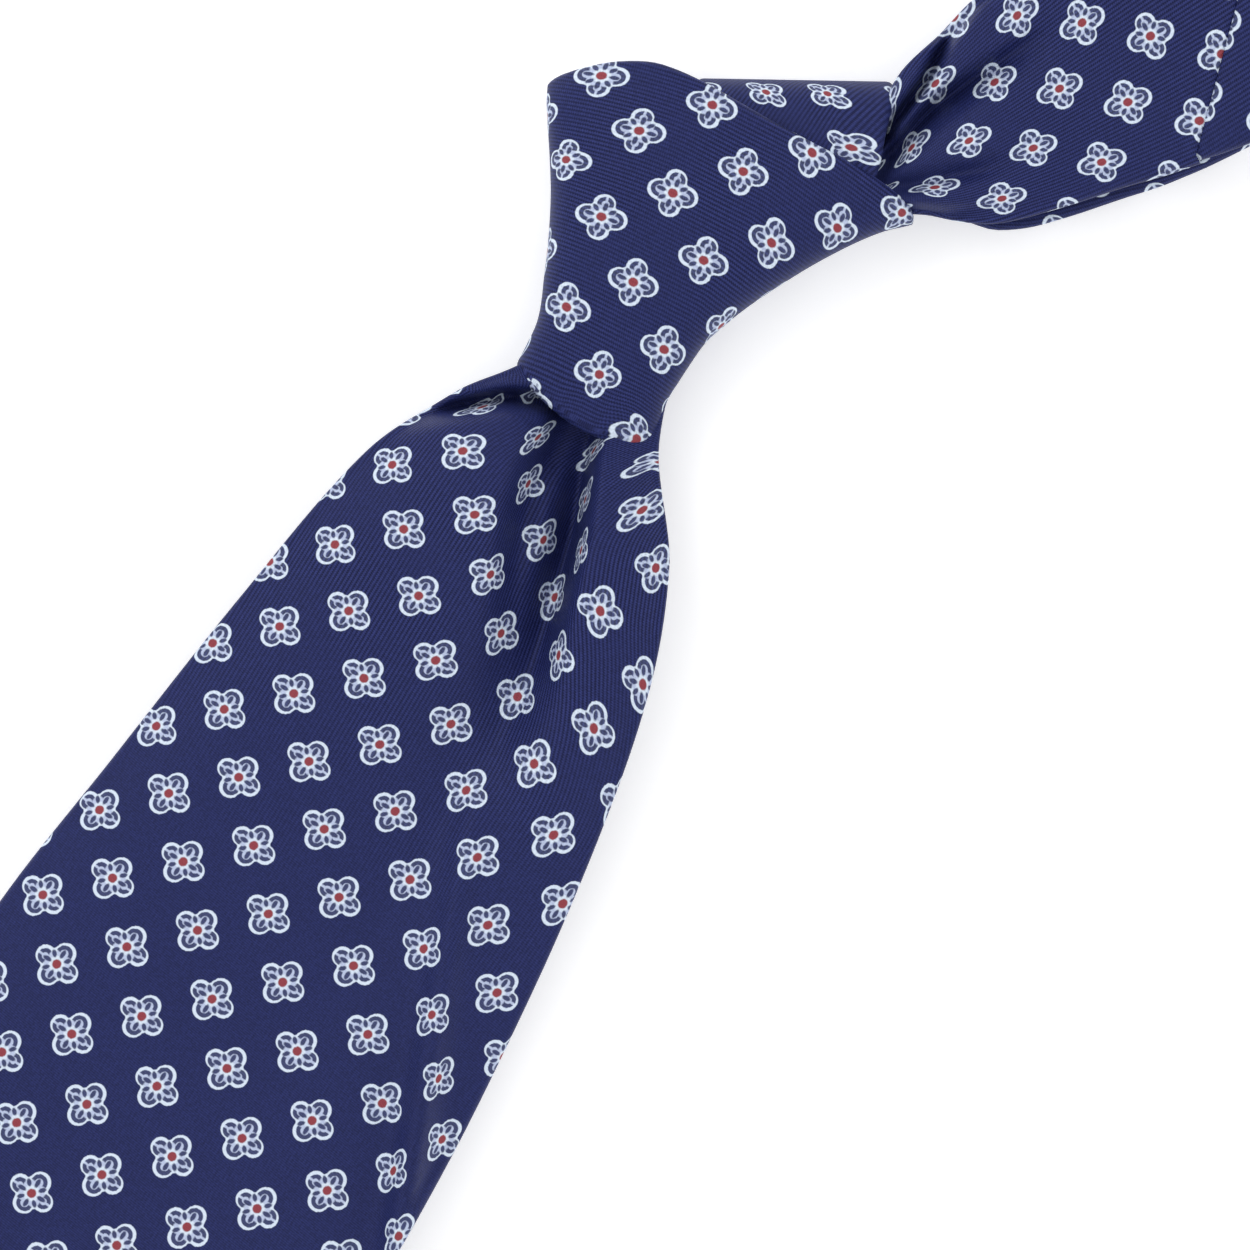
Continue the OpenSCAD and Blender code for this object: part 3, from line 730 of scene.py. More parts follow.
front_lining = inner_sheet("front_tipping_lining", FRONT_TIP + 2.2, FRONT_TIP + 102, 60, 1.3, 0.46, 0.18)
dress(front_lining, LINING, "front_blade")
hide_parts("front_tipping")
front_wool = inner_sheet("front_wool", FRONT_TIP + 4.0, -150.0, 120, 2.6, 0.75, 0.8)
dress(front_wool, WOOL, "front_blade")
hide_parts("front_interlining")

# ------------------------------------------------------------------ knot

# Outline of the knot from above: left and right edge and crown height at y.
K_LEFT = smooth([(-24, -12.0), (-20.8, -12.1), (-15.3, -12.5), (-8.1, -15.3), (0.0, -19.4), (4.5, -22.3),
                 (8.5, -25.1),
                 (11.0, -26.7), (12.8, -27.5), (24.0, -28.6)])
K_RIGHT = smooth([(-24, 8.0), (-19.2, 7.9), (-13.4, 6.8), (-6.5, 7.0), (-1.2, 8.4), (6.0, 11.5),
                  (12.6, 15.0), (18.5, 19.0),
                  (21.4, 21.8), (24.0, 23.6)])
K_CROWN = smooth([(-22.4, 13.2), (-18, 14.2), (-10, 15.6), (0, 17.0), (8, 17.8), (14, 18.0), (19, 17.4),
                  (22.9, 16.3)])
# its lower edge sags in the middle and its upper edge falls away at the left shoulder
BAND_HIGH = smooth([(-30, 8.0), (-27.5, 12.0), (-25, 14.8), (-21.5, 18.0), (-15.9, 20.9), (-10, 21.7),
                    (0, 22.0), (14, 22.8),
                    (19, 22.4), (24, 20.2)])


def band_low(x):
    return -22.2 + 0.020 * (x + 1.0) ** 2 + 0.09 * np.clip(x, 0, None)


def band_y(x, k):
    """Height in plan of the band's ring k, which runs from 0 at its lower edge to 1 at its upper one."""
    return band_low(x) + k * (BAND_HIGH(x) - band_low(x))


def band_side(edge, k, x0, x1):
    """Where ring k meets the knot's left or right outline."""
    x = np.linspace(x0, x1, 500)
    return float(np.interp(0.0, x - edge(band_y(x, k)), x))


def band_ring(k, inset, n):
    """Points around the knot on ring k: over the front from right to left, then back underneath."""
    l, r = band_side(K_LEFT, k, -32.0, -4.0) + inset, band_side(K_RIGHT, k, 2.0, 27.0) - inset
    c = float(K_CROWN(-22.2 + 45.1 * k)) - inset
    low_z = 2.3 + inset * 0.5
    mid_x, half, rise = (l + r) / 2, (r - l) / 2, (c - low_z) / 2
    a = np.linspace(0, 2 * math.pi, n, endpoint=False) - math.pi / 2
    ca, sa = np.cos(a), np.sin(a)
    px = np.sign(ca) * np.abs(ca) ** 0.72
    pz = np.sign(sa) * np.abs(sa) ** 0.80
    return mid_x + half * px, low_z + rise + rise * pz


def knot_band():
    n, rows = 120, 64
    t = 2.1
    outer, inner = [], []
    f = np.linspace(0, 1, rows)
    f = f + 0.02 * np.sin(2 * math.pi * f)
    for k in f:
        for store, inset in ((outer, 0.0), (inner, t)):
            x, z = band_ring(k, inset, n)
            y = band_y(x, k)
            store.append(np.stack([x, y, z], -1))
    outer, inner = np.array(outer), np.array(inner)

    def roll(a, b, sign):
        """Rounded edge between the outer and the inner face."""
        out = []
        for q in np.linspace(0, math.pi, 9)[1:-1]:
            p = (a + b) / 2 + (a - b) / 2 * math.cos(q)
            p = p.copy()
            p[:, 1] += sign * t * 0.5 * math.sin(q)
            out.append(p)
        return np.array(out)
    top = roll(outer[-1], inner[-1], 1)
    low = roll(inner[0], outer[0], -1)
    pos = np.concatenate([outer, top, inner[::-1], low])
    # the weave runs round the knot, tilted a little up to the right
    x, y = pos[..., 0], pos[..., 1]
    d = np.diff(np.concatenate([pos, pos[:, :1]], 1), axis=1)
    seg = np.hypot(d[..., 0], d[..., 2])
    along = np.zeros(pos.shape[:2])
    # arc length from the crown, where x matches the outline's own x
    crown = n // 2
    for i in range(pos.shape[0]):
        c = np.zeros(n)
        c[crown + 1:] = -np.cumsum(seg[i, crown:-1])
        c[:crown] = np.cumsum(seg[i, :crown][::-1])[::-1]
        along[i] = c + x[i, crown]
    steep = np.abs(along - x)
    flat = x + np.sign(along - x) * np.clip(steep - 0.35, 0, None)
    # the weave bends a little over the left shoulder, near the right edge and at the lower left
    flat = flat - 0.9 * ease((-y - 6) / 8) * ease((3 - x) / 6)
    bent = (y + 0.045 * np.clip(-x - 8, 0, None) ** 1.5 * np.interp(y, [0, 8], [0.5, 1.0])
            + 0.16 * np.clip(x - 4, 0, None))
    corner = ease((-14 - y) / 6) * ease(x / 4)
    flat = flat - 1.4 * corner
    bent = bent - 1.1 * corner + 0.7 * ease((-16 - y) / 5) * ease((-2 - x) / 4)
    ax, ay, bx, by = 7.0, 0.9, -0.8, 6.12
    det = ax * by - ay * bx
    dx, dy = flat + 0.1, bent - 15.5
    a = (dx * by - dy * bx) / det
    b = (ax * dy - ay * dx) / det
    # t runs along the tie, which here is across the knot
    uv = np.stack([b * HALF_PITCH, a * HALF_PITCH + REPEATS], -1)
    return grid_mesh("knot_band", pos[::-1], uv[::-1], close_cols=True, close_rows=True)


band = dress(knot_band(), SILK, "knot")
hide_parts("knot_front_band")


def ribbon(name, rows, width_cols, uv_of, frame_turn=0.0):
    """A padded band through rows of (y', z, left, right, thickness) in a turned frame."""
    rows = np.array(rows, float)
    k = np.linspace(0, len(rows) - 1, (len(rows) - 1) * 6 + 1)
    fine = np.stack([smooth(list(enumerate(rows[:, c])))(k) for c in range(5)], -1)
    tan = np.gradient(fine[:, :2], axis=0)
    tan /= np.hypot(tan[:, 0], tan[:, 1])[:, None]
    cum = np.r_[0, np.cumsum(np.hypot(*np.diff(fine[:, :2], axis=0).T))]
    pos, uv = [], []
    c, s = math.cos(frame_turn), math.sin(frame_turn)
    for i, (y, z, l, r, th) in enumerate(fine):
        half = th / 2
        xs = l + half + (r - l - th) * np.linspace(0, 1, width_cols)
        turn = np.linspace(0, math.pi, 9)[1:-1]
        sx = np.r_[xs, r - half + half * np.sin(turn), xs[::-1], l + half - half * np.sin(turn)]
        sh = np.r_[np.full(width_cols, half), half * np.cos(turn),
                   np.full(width_cols, -half), -half * np.cos(turn)]
        yy, zz = y - sh * tan[i, 1], z + sh * tan[i, 0]
        px, py = sx * c - yy * s, sx * s + yy * c
        pos.append(np.stack([px, py, zz], -1))
        uv.append(uv_of(sx, np.full(len(sx), cum[i])))
    return grid_mesh(name, np.array(pos), np.array(uv), close_cols=True, cap=True)


TURN = math.radians(30.5)


def tuck_uv(x, along):
    """The weave on the tuck: flowers stand where a and b are whole."""
    y = 42.6 - 1.083 * along
    x = x - 0.35 * np.clip(x - 20, 0, None)
    px = x * math.cos(TURN) - y * math.sin(TURN) - 3.7
    py = x * math.sin(TURN) + y * math.cos(TURN) - 30.0
    a, b = (5.1 * px + 6.0 * py) / 58.08, (3.9 * px - 6.8 * py) / 58.08
    return np.stack([(a + b) * HALF_PITCH, (a - b) * HALF_PITCH + REPEATS], -1)


TUCK = [(15.5, 1.3, 4, 24.5, 2.0), (19.3, 1.3, 3.0, 25, 2.0), (22.4, 2.2, 2.0, 26, 2.0),
        (24.2, 4.4, 1.7, 26.8, 2.0),
        (24.7, 7.2, 1.6, 27.0, 2.0), (23.9, 10.0, 1.7, 26.9, 2.0), (21.8, 12.2, 2.2, 26.6, 2.0),
        (18.6, 13.3, 3.4, 25.9, 2.0),
        (14.5, 13.5, 4.8, 25.2, 2.0), (10.0, 13.0, 6.0, 23.0, 2.0)]
tuck = dress(ribbon("knot_tuck_cloth", TUCK, 40, tuck_uv, TURN), SILK, "knot")
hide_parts("knot_tuck")


def pad(name, outline, z0, t, turn, shift):
    """A rounded pad over an outline, for a pass of the knot."""
    p = np.array(outline, float)
    c = p.mean(0)
    ring = []
    per = 6
    for i in range(len(p)):
        a, b = p[i], p[(i + 1) % len(p)]
        for k in range(per):
            ring.append(a + (b - a) * k / per)
    ring = np.array(ring)
    for _ in range(6):
        ring = (np.roll(ring, 1, 0) + 2 * ring + np.roll(ring, -1, 0)) / 4
    levels = [(0.02, t / 2), (0.4, t / 2), (0.75, t / 2), (0.9, t / 2 * 0.98), (0.97, t / 2 * 0.72),
              (1.0, 0.0),
              (0.97, -t / 2 * 0.72), (0.9, -t / 2 * 0.98), (0.75, -t / 2), (0.4, -t / 2), (0.02, -t / 2)]
    pos = np.array([np.concatenate([c + (ring - c) * f, np.full((len(ring), 1), z0 + t / 2 + h)], 1) for f,
                    h in levels])
    co, si = math.cos(turn), math.sin(turn)
    x, y = pos[..., 0] + shift, pos[..., 1]
    uv = np.stack([x * co - y * si, x * si + y * co], -1)
    return grid_mesh(name, pos[::-1], uv[::-1], close_cols=True, cap=True)


rise = pad("knot_rise_cloth", [(-7.9, 17.4), (-8, 9), (-4, -2), (-1, -14), (6, -14), (6, -4), (8.5, 4),
                               (12, 13.5),
                               (14.5, 24), (12.7, 29.4)], 0.0, 2.1, math.radians(35), 1.0)
dress(rise, SILK, "knot")
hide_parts("knot_rise")
wrap = pad("knot_wrap_cloth", [(-9, -18), (5, -18), (5.5, -2), (12, 14.5), (12.5, 18.5), (-15, 18),
                               (-20, 12), (-13, -2)],
           2.2, 2.0, math.radians(84), 3.0)
dress(wrap, SILK, "knot")
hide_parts("knot_behind_wrap")
cross = pad("knot_cross_cloth", [(-8, -13), (3, -13), (6, 2), (12, 17), (10, 20), (-13, 18), (-17, 11),
                                 (-11, -2)],
            7.5, 2.0, math.radians(95), 5.0)
dress(cross, SILK, "knot")
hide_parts("knot_crossover")

# ------------------------------------------------------------------ neck loop

UP_L = smooth([(-6, -3.6), (0, -4.4), (4.8, -5.9), (7.9, -10.0), (12, -12.3), (17.3, -13.6), (23.9, -15.5),
               (34, -16.9),
               (45, -18.2), (54, NECK_W / -2)])
UP_R = smooth([(-6, 0.6), (0, 2.6), (4.8, 5.3), (8.6, 8.6), (12.2, 10.9), (20.1, 13.2), (28.9, 15.1),
               (34.6, 16.5), (45, 18.3),
               (54, NECK_W / 2)])


def strap_lift(x, a):
    """Folds of the strap, which radiate from where it enters the knot."""
    fade = 1 - ease((a - 6) / 26)
    roll_x = np.interp(a, [2, 5, 13, 19, 25], [-5.0, -6.0, -9.4, -13.0, -15.4])
    roll_d = np.interp(a, [0, 5, 13, 19, 30], [2.5, 5.2, 6.4, 5.6, 0.0])
    z = -roll_d * np.exp(-np.abs((x - roll_x) / np.where(x > roll_x, 0.95, 0.75)) ** 2)
    a_x = np.interp(a, [2, 5, 12, 20, 30], [-2.4, -3.8, -6.0, -6.9, -7.2])
    a_d = np.interp(a, [0, 5, 12, 20, 32], [1.8, 5.4, 6.2, 4.2, 0.0])
    z -= a_d * np.exp(-np.abs((x - a_x) / np.where(x > a_x, 1.7 + 0.03 * a, 1.0)) ** 1.8)
    c_x = np.interp(a, [2, 8, 14, 22], [0.2, 1.8, 4.0, 5.5])
    z -= np.interp(a, [0, 5, 10, 17, 24], [0.8, 3.0, 2.4, 0.9, 0.0]) * np.exp(-((x - c_x) / 1.4) ** 2)
    d_x = np.interp(a, [2, 6, 12, 18], [3.0, 6.0, 9.0, 11.0])
    z -= np.interp(a, [0, 5, 9, 15], [0.6, 2.0, 1.4, 0.0]) * np.exp(-((x - d_x) / 1.0) ** 2)
    z += 3.5 * fade
    return z


# the weave on the strap starts this far along
STRAP_T0 = -0.9 + REPEATS


def upper_strap():
    m, n = 80, 80
    u = np.linspace(-1, 1, m)
    xs, ys, zs, ss, ts = [], [], [], [], []
    a0 = -2.5
    th = []
    for f in np.linspace(0, 1, n):
        nominal = a0 + f * (FRONT_SEAM - a0)
        r_e = 0.7 + 0.55 * float(ease((nominal - 5) / 30))
        a = np.full(m, nominal)
        for _ in range(4):
            l, r = UP_L(a), UP_R(a)
            x = (l + r) / 2 + ((r - l) / 2 - r_e) * u
            a = a0 + f * (FRONT_SEAM - x * f ** 2 - a0)
        edge = 1.6 * (1 - ease((a - 8) / 34)) + 0.25
        z = r_e + strap_lift(x, a) - edge * np.abs(u) ** 4
        z = z + 0.35 * np.exp(-((a + x - FRONT_SEAM) / 1.6) ** 2) - 0.45 * np.exp(
            -((a + x - FRONT_SEAM) / 0.5) ** 2)
        xs.append(x)
        ys.append(a)
        zs.append(z)
        grow = NECK_W / (r - l)
        ss.append(x * grow ** 1.05)
        ts.append(a + STRAP_T0)
        th.append(2 * r_e)
    return [np.array(v) for v in (xs, ys, zs, ss, ts, th)]


ux, uy, uz, us, ut, uth = upper_strap()


def strap_place(p):
    ax_y = np.array([math.sin(LOOP_ANGLE), math.cos(LOOP_ANGLE)])
    ax_x = np.array([math.cos(LOOP_ANGLE), -math.sin(LOOP_ANGLE)])
    xy = LOOP_BASE + p[..., :1] * ax_x + p[..., 1:2] * ax_y
    return np.concatenate([xy, (p[..., 2] + upper_z(p[..., 1]))[..., None]], -1)


pos, uv = folded(ux, uy, uz, us, ut, uth, np.full(len(uth), 0.35), strap_place, 50)
upper = thicken(grid_mesh("upper_strap_cloth", pos, uv), 0.34)
dress(upper, SILK)
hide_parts("upper_strap")

# The neck panel: over the top, round the fold and back along the table.
fold_r = LOOP_H / 2 - LOW_Z
centre = [(y, float(upper_z(y))) for y in np.linspace(20, FOLD_Y - 1, 60)]
centre += [(FOLD_Y + fold_r * math.cos(a), LOOP_H / 2 + fold_r * math.sin(a))
           for a in np.linspace(math.radians(88), math.radians(-88), 36)]
centre += [(y, float(lower_z(y))) for y in np.linspace(FOLD_Y - 1, 50, 60)]
neck_path, _ = path_of(centre)
tail_part = np.array(centre[96:])
cum_all = np.r_[0, np.cumsum(np.hypot(*np.diff(np.array(centre), axis=0).T))]


def upper_len(y):
    """Length along the path at y on the loop's upper run."""
    return np.interp(y, [c[0] for c in centre[:60]], cum_all[:60])


def lower_len(y):
    """Length along the path at y on the loop's lower run."""
    return np.interp(-y, -tail_part[:, 0], cum_all[96:])


start_len, end_len = float(upper_len(FRONT_SEAM)), float(lower_len(TAIL_SEAM))


def neck_panel():
    m, n = 44, 150
    u = np.linspace(-1, 1, m)
    xs, ys, zs, ss, ts = [], [], [], [], []
    r_e = 1.3
    for f in np.linspace(0, 1, n):
        y_near = np.interp(start_len + f * (end_len - start_len) - 19 * u * (1 - f) ** 3, cum_all[:60],
                           [c[0] for c in centre[:60]])
        left, right = np.minimum(NECK_W / 2, -UP_L(y_near)) - r_e, np.minimum(NECK_W / 2, UP_R(y_near)) - r_e
        x = np.where(u < 0, left, right) * u
        k = (1 - f) ** 3
        lo = start_len * (1 - k) + (upper_len(FRONT_SEAM - x) - 1.2) * k
        k = f ** 3
        hi = end_len * (1 - k) + (lower_len(TAIL_SEAM + x) + 1.2) * k
        a = lo + f * (hi - lo)
        z = r_e - 0.3 * np.abs(u) ** 8 + 0.10 * np.sin(a / 14.0 + x / 11.0)
        z = z - 0.55 * np.exp(-((a - lo) / 1.5) ** 2) - 0.55 * np.exp(-((a - hi) / 1.5) ** 2)
        xs.append(x)
        ys.append(a)
        zs.append(z)
        ss.append(x + 3.6)
        ts.append(a + 4.2 + REPEATS)
    th = np.full(n, 2 * r_e)
    return [np.array(v) for v in (xs, ys, zs, ss, ts)] + [th]


nx, ny, nz, ns, nt, nth = neck_panel()
place_neck = loop_place(neck_path)
pos, uv = folded(nx, ny, nz, ns, nt, nth, np.full(len(nth), 0.35), place_neck)
neck = thicken(grid_mesh("neck_cloth", pos, uv), 0.34)
dress(neck, SILK, "neck_loop")
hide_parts("neck_shell")

# wool inside the neck panel
wool_x = np.linspace(-NECK_W / 2 + 1.8, NECK_W / 2 - 1.8, 12)
wool_a = np.linspace(start_len + 20, end_len - 20, 120)
wp = np.zeros((120, 12, 3))
wp[..., 0], wp[..., 1] = wool_x[None, :], wool_a[:, None]
neck_wool = thicken(grid_mesh("neck_wool", place_neck(wp)[::-1], wp[..., :2][::-1]), 1.3, 0.0)
dress(neck_wool, WOOL, "neck_loop")
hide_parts("neck_interlining")

# the lower strap, whose face is towards the table; a little of it shows past the upper one
LO_L = smooth([(-6, 3.0), (4, 4.6), (8, 8.2), (12, 10.8), (20, 13.4), (29, 15.6), (36, 16.8), (60, 18.3),
               (84, 19.0)])
PEEK = smooth([(-6, -2.4), (4, -1.9), (8, -1.0), (12, 0.7), (18, 1.3), (30, 1.2), (38, 0.7), (46, 0.1),
               (60, 0.0), (90, 0.0)])


def lower_strap():
    m, n = 50, 90
    u = np.linspace(-1, 1, m)
    xs, ys, zs, ss, ts, th = [], [], [], [], [], []
    a0 = -4.0
    for f in np.linspace(0, 1, n):
        nominal = a0 + f * (TAIL_SEAM - a0)
        r_e = 0.8 + 0.5 * float(ease((nominal - 5) / 40))
        a = np.full(m, nominal)
        for _ in range(3):
            left = -LO_L(a) + r_e
            right = np.minimum(UP_R(a), 19.0) + PEEK(a) - r_e
            x = left + (right - left) * (u + 1) / 2
            a = a0 + f * (TAIL_SEAM + x * f ** 2 - a0)
        z = r_e - 0.3 * np.abs(u) ** 6 - 0.5 * (1 - ease(a / 30)) * np.cos(u * 5)
        z = z - 0.35 * np.exp(-((a - x - TAIL_SEAM) / 0.7) ** 2)
        z = z + 1.2 * ease((a + 1) / 5) * (1 - ease((a - 14) / 20))
        xs.append(x)
        ys.append(a)
        zs.append(z)
        ss.append(x * 38.0 / (right - left + 2 * r_e) + 2.0)
        ts.append(a + 1.0 + REPEATS)
        th.append(2 * r_e)
    return [np.array(v) for v in (xs, ys, zs, ss, ts, th)]


def lower_place(p):
    ax_y = np.array([math.sin(LOOP_ANGLE), math.cos(LOOP_ANGLE)])
    ax_x = np.array([math.cos(LOOP_ANGLE), -math.sin(LOOP_ANGLE)])
    xy = LOOP_BASE + p[..., :1] * ax_x + p[..., 1:2] * ax_y
    return np.concatenate([xy, (lower_z(p[..., 1]) - p[..., 2])[..., None]], -1)


lx, ly, lz, ls, lt, lth = lower_strap()
pos, uv = folded(lx, ly, lz, ls, lt, lth, np.full(len(lth), 0.35), lower_place)
lower = thicken(grid_mesh("lower_strap_cloth", pos[::-1], uv[::-1]), 0.34)
dress(lower, SILK)
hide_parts("lower_strap")

# ------------------------------------------------------------------ tail panel

T_HALF = smooth([(-100, float(tail_half(-100.0))), (-84, 17.6), (-66, 15.4), (-48, 12.4), (-34, 9.2),
                 (-26, 6.8), (-19, 5.4),
                 (0, 6.2), (16, 7.0)])
T_MID = smooth([(-100, 0.0), (-44, 0.0), (-30, -1.0), (-20, -2.3), (-6, -2.4), (8, 0.0), (18, 3.4)])


def tail_panel():
    m = 50
    u = np.linspace(-1, 1, m)
    y_rows = np.r_[np.linspace(17, -100, 96), np.linspace(-103, TAIL_TIP + 30, 62),
                   np.linspace(TAIL_TIP + 28, TAIL_TIP + 0.9, 24),
                   TAIL_TIP + 0.35]
    xs, ys, zs, ss, ts, th = [], [], [], [], [], []
    for y in y_rows:
        body = float(T_HALF(y)) if y > -100 else float(tail_half(y))
        half = min(body, max(y - TAIL_TIP, 0.0))
        r_e = min(1.25, 0.5 * half + 0.05)
        x = float(T_MID(y)) * (y > -100) + (half - r_e) * u
        wave = (1 - ease((-y - 20) / 70))
        z = tail_floor(y) + 2 * r_e + 0.05 - 0.25 * np.abs(u) ** 8
        z = z - 0.9 * wave * np.exp(-((u - 0.1) / 0.3) ** 2) + 0.06 * np.sin(x / 6 + y / 19)
        z = z - 1.7 * math.exp(-((y + 37) / 13) ** 2)
        xs.append(x)
        ys.append(np.full(m, y))
        zs.append(z)
        ss.append((x - float(T_MID(y)) * (y > -100)) * max(1.0, 19.0 / max(half, 0.5) if y > -100 else 1.0)
                  + 1.5)
        ts.append(np.full(m, y))
        th.append(2 * r_e)
    return [np.array(v) for v in (xs, ys, zs, ss, ts, th)]


tx, ty_, tz, ts_, tt, tth = tail_panel()
t_low = TAIL_TIP + HEM * math.sqrt(2)
t_mid = (TAIL_TIP + TAIL_W + t_low) / 2
yr = ty_[:, 0]
t_in = np.where(yr > t_mid, np.clip(TAIL_TIP + TAIL_W - yr, 0.35, None), np.clip(yr - t_low, 0.02, None))
t_in = np.where(yr < t_low, 0.02, t_in)
pos, uv = folded(tx, ty_, tz, ts_, tt, tth, t_in)
tail_cloth = thicken(grid_mesh("tail_cloth", pos[::-1], uv[::-1]), 0.34)
dress(tail_cloth, SILK)
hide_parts("tail_shell", "tail_gather")


def tail_sheet(name, y0, y1, n, margin, lift, t):
    rows_p, rows_uv = [], []
    for y in np.linspace(y0, y1, n):
        half = min(float(tail_half(y)), y - TAIL_TIP) - margin
        xs = np.linspace(-half, half, 20)
        rows_p.append(np.stack([xs, np.full(20, y), np.full(20, tail_floor(y) + lift)], -1))
        rows_uv.append(np.stack([xs, np.full(20, y)], -1))
    return thicken(grid_mesh(name, np.array(rows_p), np.array(rows_uv)), t, 1.0)


tail_lining = tail_sheet("tail_tipping_lining", TAIL_TIP + 2.2, TAIL_TIP + 68, 40, 1.3, 0.5, 0.18)
dress(tail_lining, LINING, "tail")
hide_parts("tail_tipping")
tail_wool = tail_sheet("tail_wool", TAIL_TIP + 4.0, -102.0, 60, 1.8, 0.95, 0.9)
dress(tail_wool, WOOL, "tail")
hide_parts("tail_interlining")

# ------------------------------------------------------------------ stitches, keeper, labels


def slit_stitches(z_at, y0, y1, gap):
    """Short slanted stitches that close the slit between the flaps."""
    out = []
    y = y0
    while y < y1:
        z = z_at(0.0, y) - 0.06
        out.append([(-0.75, y, z + 0.05), (-0.3, y + 0.5, z - 0.08), (0.3, y + 1.0, z - 0.08),
                    (0.75, y + 1.5, z + 0.05)])
        y += gap
    return out


def bar_tack(y, z, half, out):
    """A bar of close stitches across the tie."""
    x = -half
    while x < half:
        out.append([(x, y - 0.7, z), (x + 0.08, y, z - 0.22), (x + 0.16, y + 0.7, z)])
        x += 0.34
    for k in (-0.35, 0.0, 0.35):
        out.append([(-half, y + k, z - 0.02), (0, y + k, z - 0.1), (half, y + k, z - 0.02)])


front_slit = slit_stitches(front_back, FRONT_TIP + FRONT_W + 10, -125, 7.0)
spare_y = FRONT_TIP + FRONT_W - 9
spare_z = front_back(0.0, spare_y) + 0.18
ring = [(2.2 * math.cos(a), spare_y + 2.2 * math.sin(a), spare_z + 0.04 * math.sin(3 * a))
        for a in np.linspace(0, 2 * math.pi, 40, endpoint=False)]
front_slit.append((ring, True))
obj = threads("front_slip_thread", front_slit, 0.12)
dress(obj, THREAD, "front_blade")
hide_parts("front_slip_stitch")
tack = []
bar_tack(FRONT_TIP + FRONT_W + 6.5, front_back(0.0, FRONT_TIP + FRONT_W + 6.5) - 0.02, 3.5, tack)
obj = threads("front_tack_thread", tack, 0.13)
dress(obj, THREAD, "front_blade")
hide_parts("front_bar_tack")

tail_slit = slit_stitches(lambda x, y: float(tail_floor(y)) + 0.02, TAIL_TIP + TAIL_W + 10, -110, 7.0)
obj = threads("tail_slip_thread", tail_slit, 0.12)
dress(obj, THREAD, "tail")
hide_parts("tail_slip_stitch")
tack = []
bar_tack(TAIL_TIP + TAIL_W + 5.5, float(tail_floor(TAIL_TIP + TAIL_W + 5.5)), 3.5, tack)
obj = threads("tail_tack_thread", tack, 0.13)
dress(obj, THREAD, "tail")
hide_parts("tail_bar_tack")

# stitches of the neck panel, inside the loop
neck_lines = []
for a in np.arange(start_len + 24, end_len - 24, 7.0):
    q = np.array([[(-0.75, a, -1.3), (-0.3, a + 0.5, -1.45), (0.3, a + 1.0, -1.45), (0.75, a + 1.5, -1.3)]])
    neck_lines.append([tuple(v) for v in place_neck(q)[0]])
obj = threads("neck_slip_thread", neck_lines, 0.12)
dress(obj, THREAD, "neck_loop")
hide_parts("neck_slip_stitch")


def keeper():
    """A strip of shell cloth across the back, folded along both sides, with its ends turned under."""
    x = np.linspace(-KEEPER_SPAN / 2, KEEPER_SPAN / 2, 70)
    w = KEEPER_W
    rows_p, rows_uv = [], []
    for xx in x:
        end = ease((KEEPER_SPAN / 2 - abs(xx)) / 7.0)
        drop = 0.08 + 0.42 * float(end)
        sec_y = np.r_[np.linspace(0.3, w - 0.3, 14), w + 0.0, np.linspace(w - 0.3, 0.3, 14), 0.0]
        sec_h = np.r_[np.full(14, 0.0), 0.17, np.full(14, 0.34), 0.17]
        base = np.array([front_back(xx, KEEPER_Y + yy) for yy in sec_y])
        z = base - drop - sec_h + 0.03 * math.sin(xx * 0.7)
        rows_p.append(np.stack([np.full(30, xx), KEEPER_Y + sec_y, z], -1))
        rows_uv.append(np.stack([sec_y + sec_h, np.full(30, xx)], -1))
    return grid_mesh("keeper_strip", np.array(rows_p)[::-1], np.array(rows_uv)[::-1], close_cols=True,
                     cap=True)


obj = dress(keeper(), SILK, "front_blade")
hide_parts("keeper_loop")
lines = []
for side in (-1, 1):
    for row in np.linspace(1.2, KEEPER_W - 1.2, 7):
        xx = side * (KEEPER_SPAN / 2 - 1.0)
        z = front_back(xx, KEEPER_Y + row) - 0.48
        lines.append([(xx - 0.9, KEEPER_Y + row, z + 0.12), (xx, KEEPER_Y + row + 0.2, z),
                      (xx + 0.9, KEEPER_Y + row + 0.4, z + 0.14)])
obj = threads("keeper_thread", lines, 0.11)
dress(obj, THREAD, "front_blade")
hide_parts("keeper_stitches")


def label(name, x0, x1, y0, y1, z_at, t, fold):
    """A woven label with its ends folded under."""
    x = np.linspace(x0, x1, 40)
    y = np.linspace(y0, y1, 18)
    xx, yy = np.meshgrid(x, y)
    z = np.array([[z_at(a, b) for a in x] for b in y]) - 0.07
    edge = np.minimum(xx - x0, x1 - xx)
    z = z - fold * ease(edge / 0.8) + 0.02 * np.sin(xx * 0.9) * np.sin(yy * 0.6)
    return thicken(grid_mesh(name, np.stack([xx, yy, z], -1), np.stack([xx, yy], -1)), t, -1.0)


LABEL_Y = KEEPER_Y + KEEPER_W + 6
obj = label("maker_label", -23, 23, LABEL_Y, LABEL_Y + 20, front_back, 0.16, 0.14)
dress(obj, LABEL, "front_blade")
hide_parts("back_label")
lines = []
for side in (-1, 1):
    for row in np.arange(1.5, 19, 1.6):
        xx = side * 22.3
        z = front_back(xx, LABEL_Y + row) - 0.36
        lines.append([(xx, LABEL_Y + row - 0.5, z + 0.1), (xx, LABEL_Y + row, z),
                      (xx, LABEL_Y + row + 0.5, z + 0.1)])
obj = threads("label_thread", lines, 0.1)
dress(obj, THREAD, "front_blade")
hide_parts("label_stitches")
care_y = TAIL_TIP + TAIL_W + 12
obj = label("care_tag", -9, 9, care_y, care_y + 15, lambda x, y: float(tail_floor(y)), 0.14, 0.08)
dress(obj, LABEL, "tail")
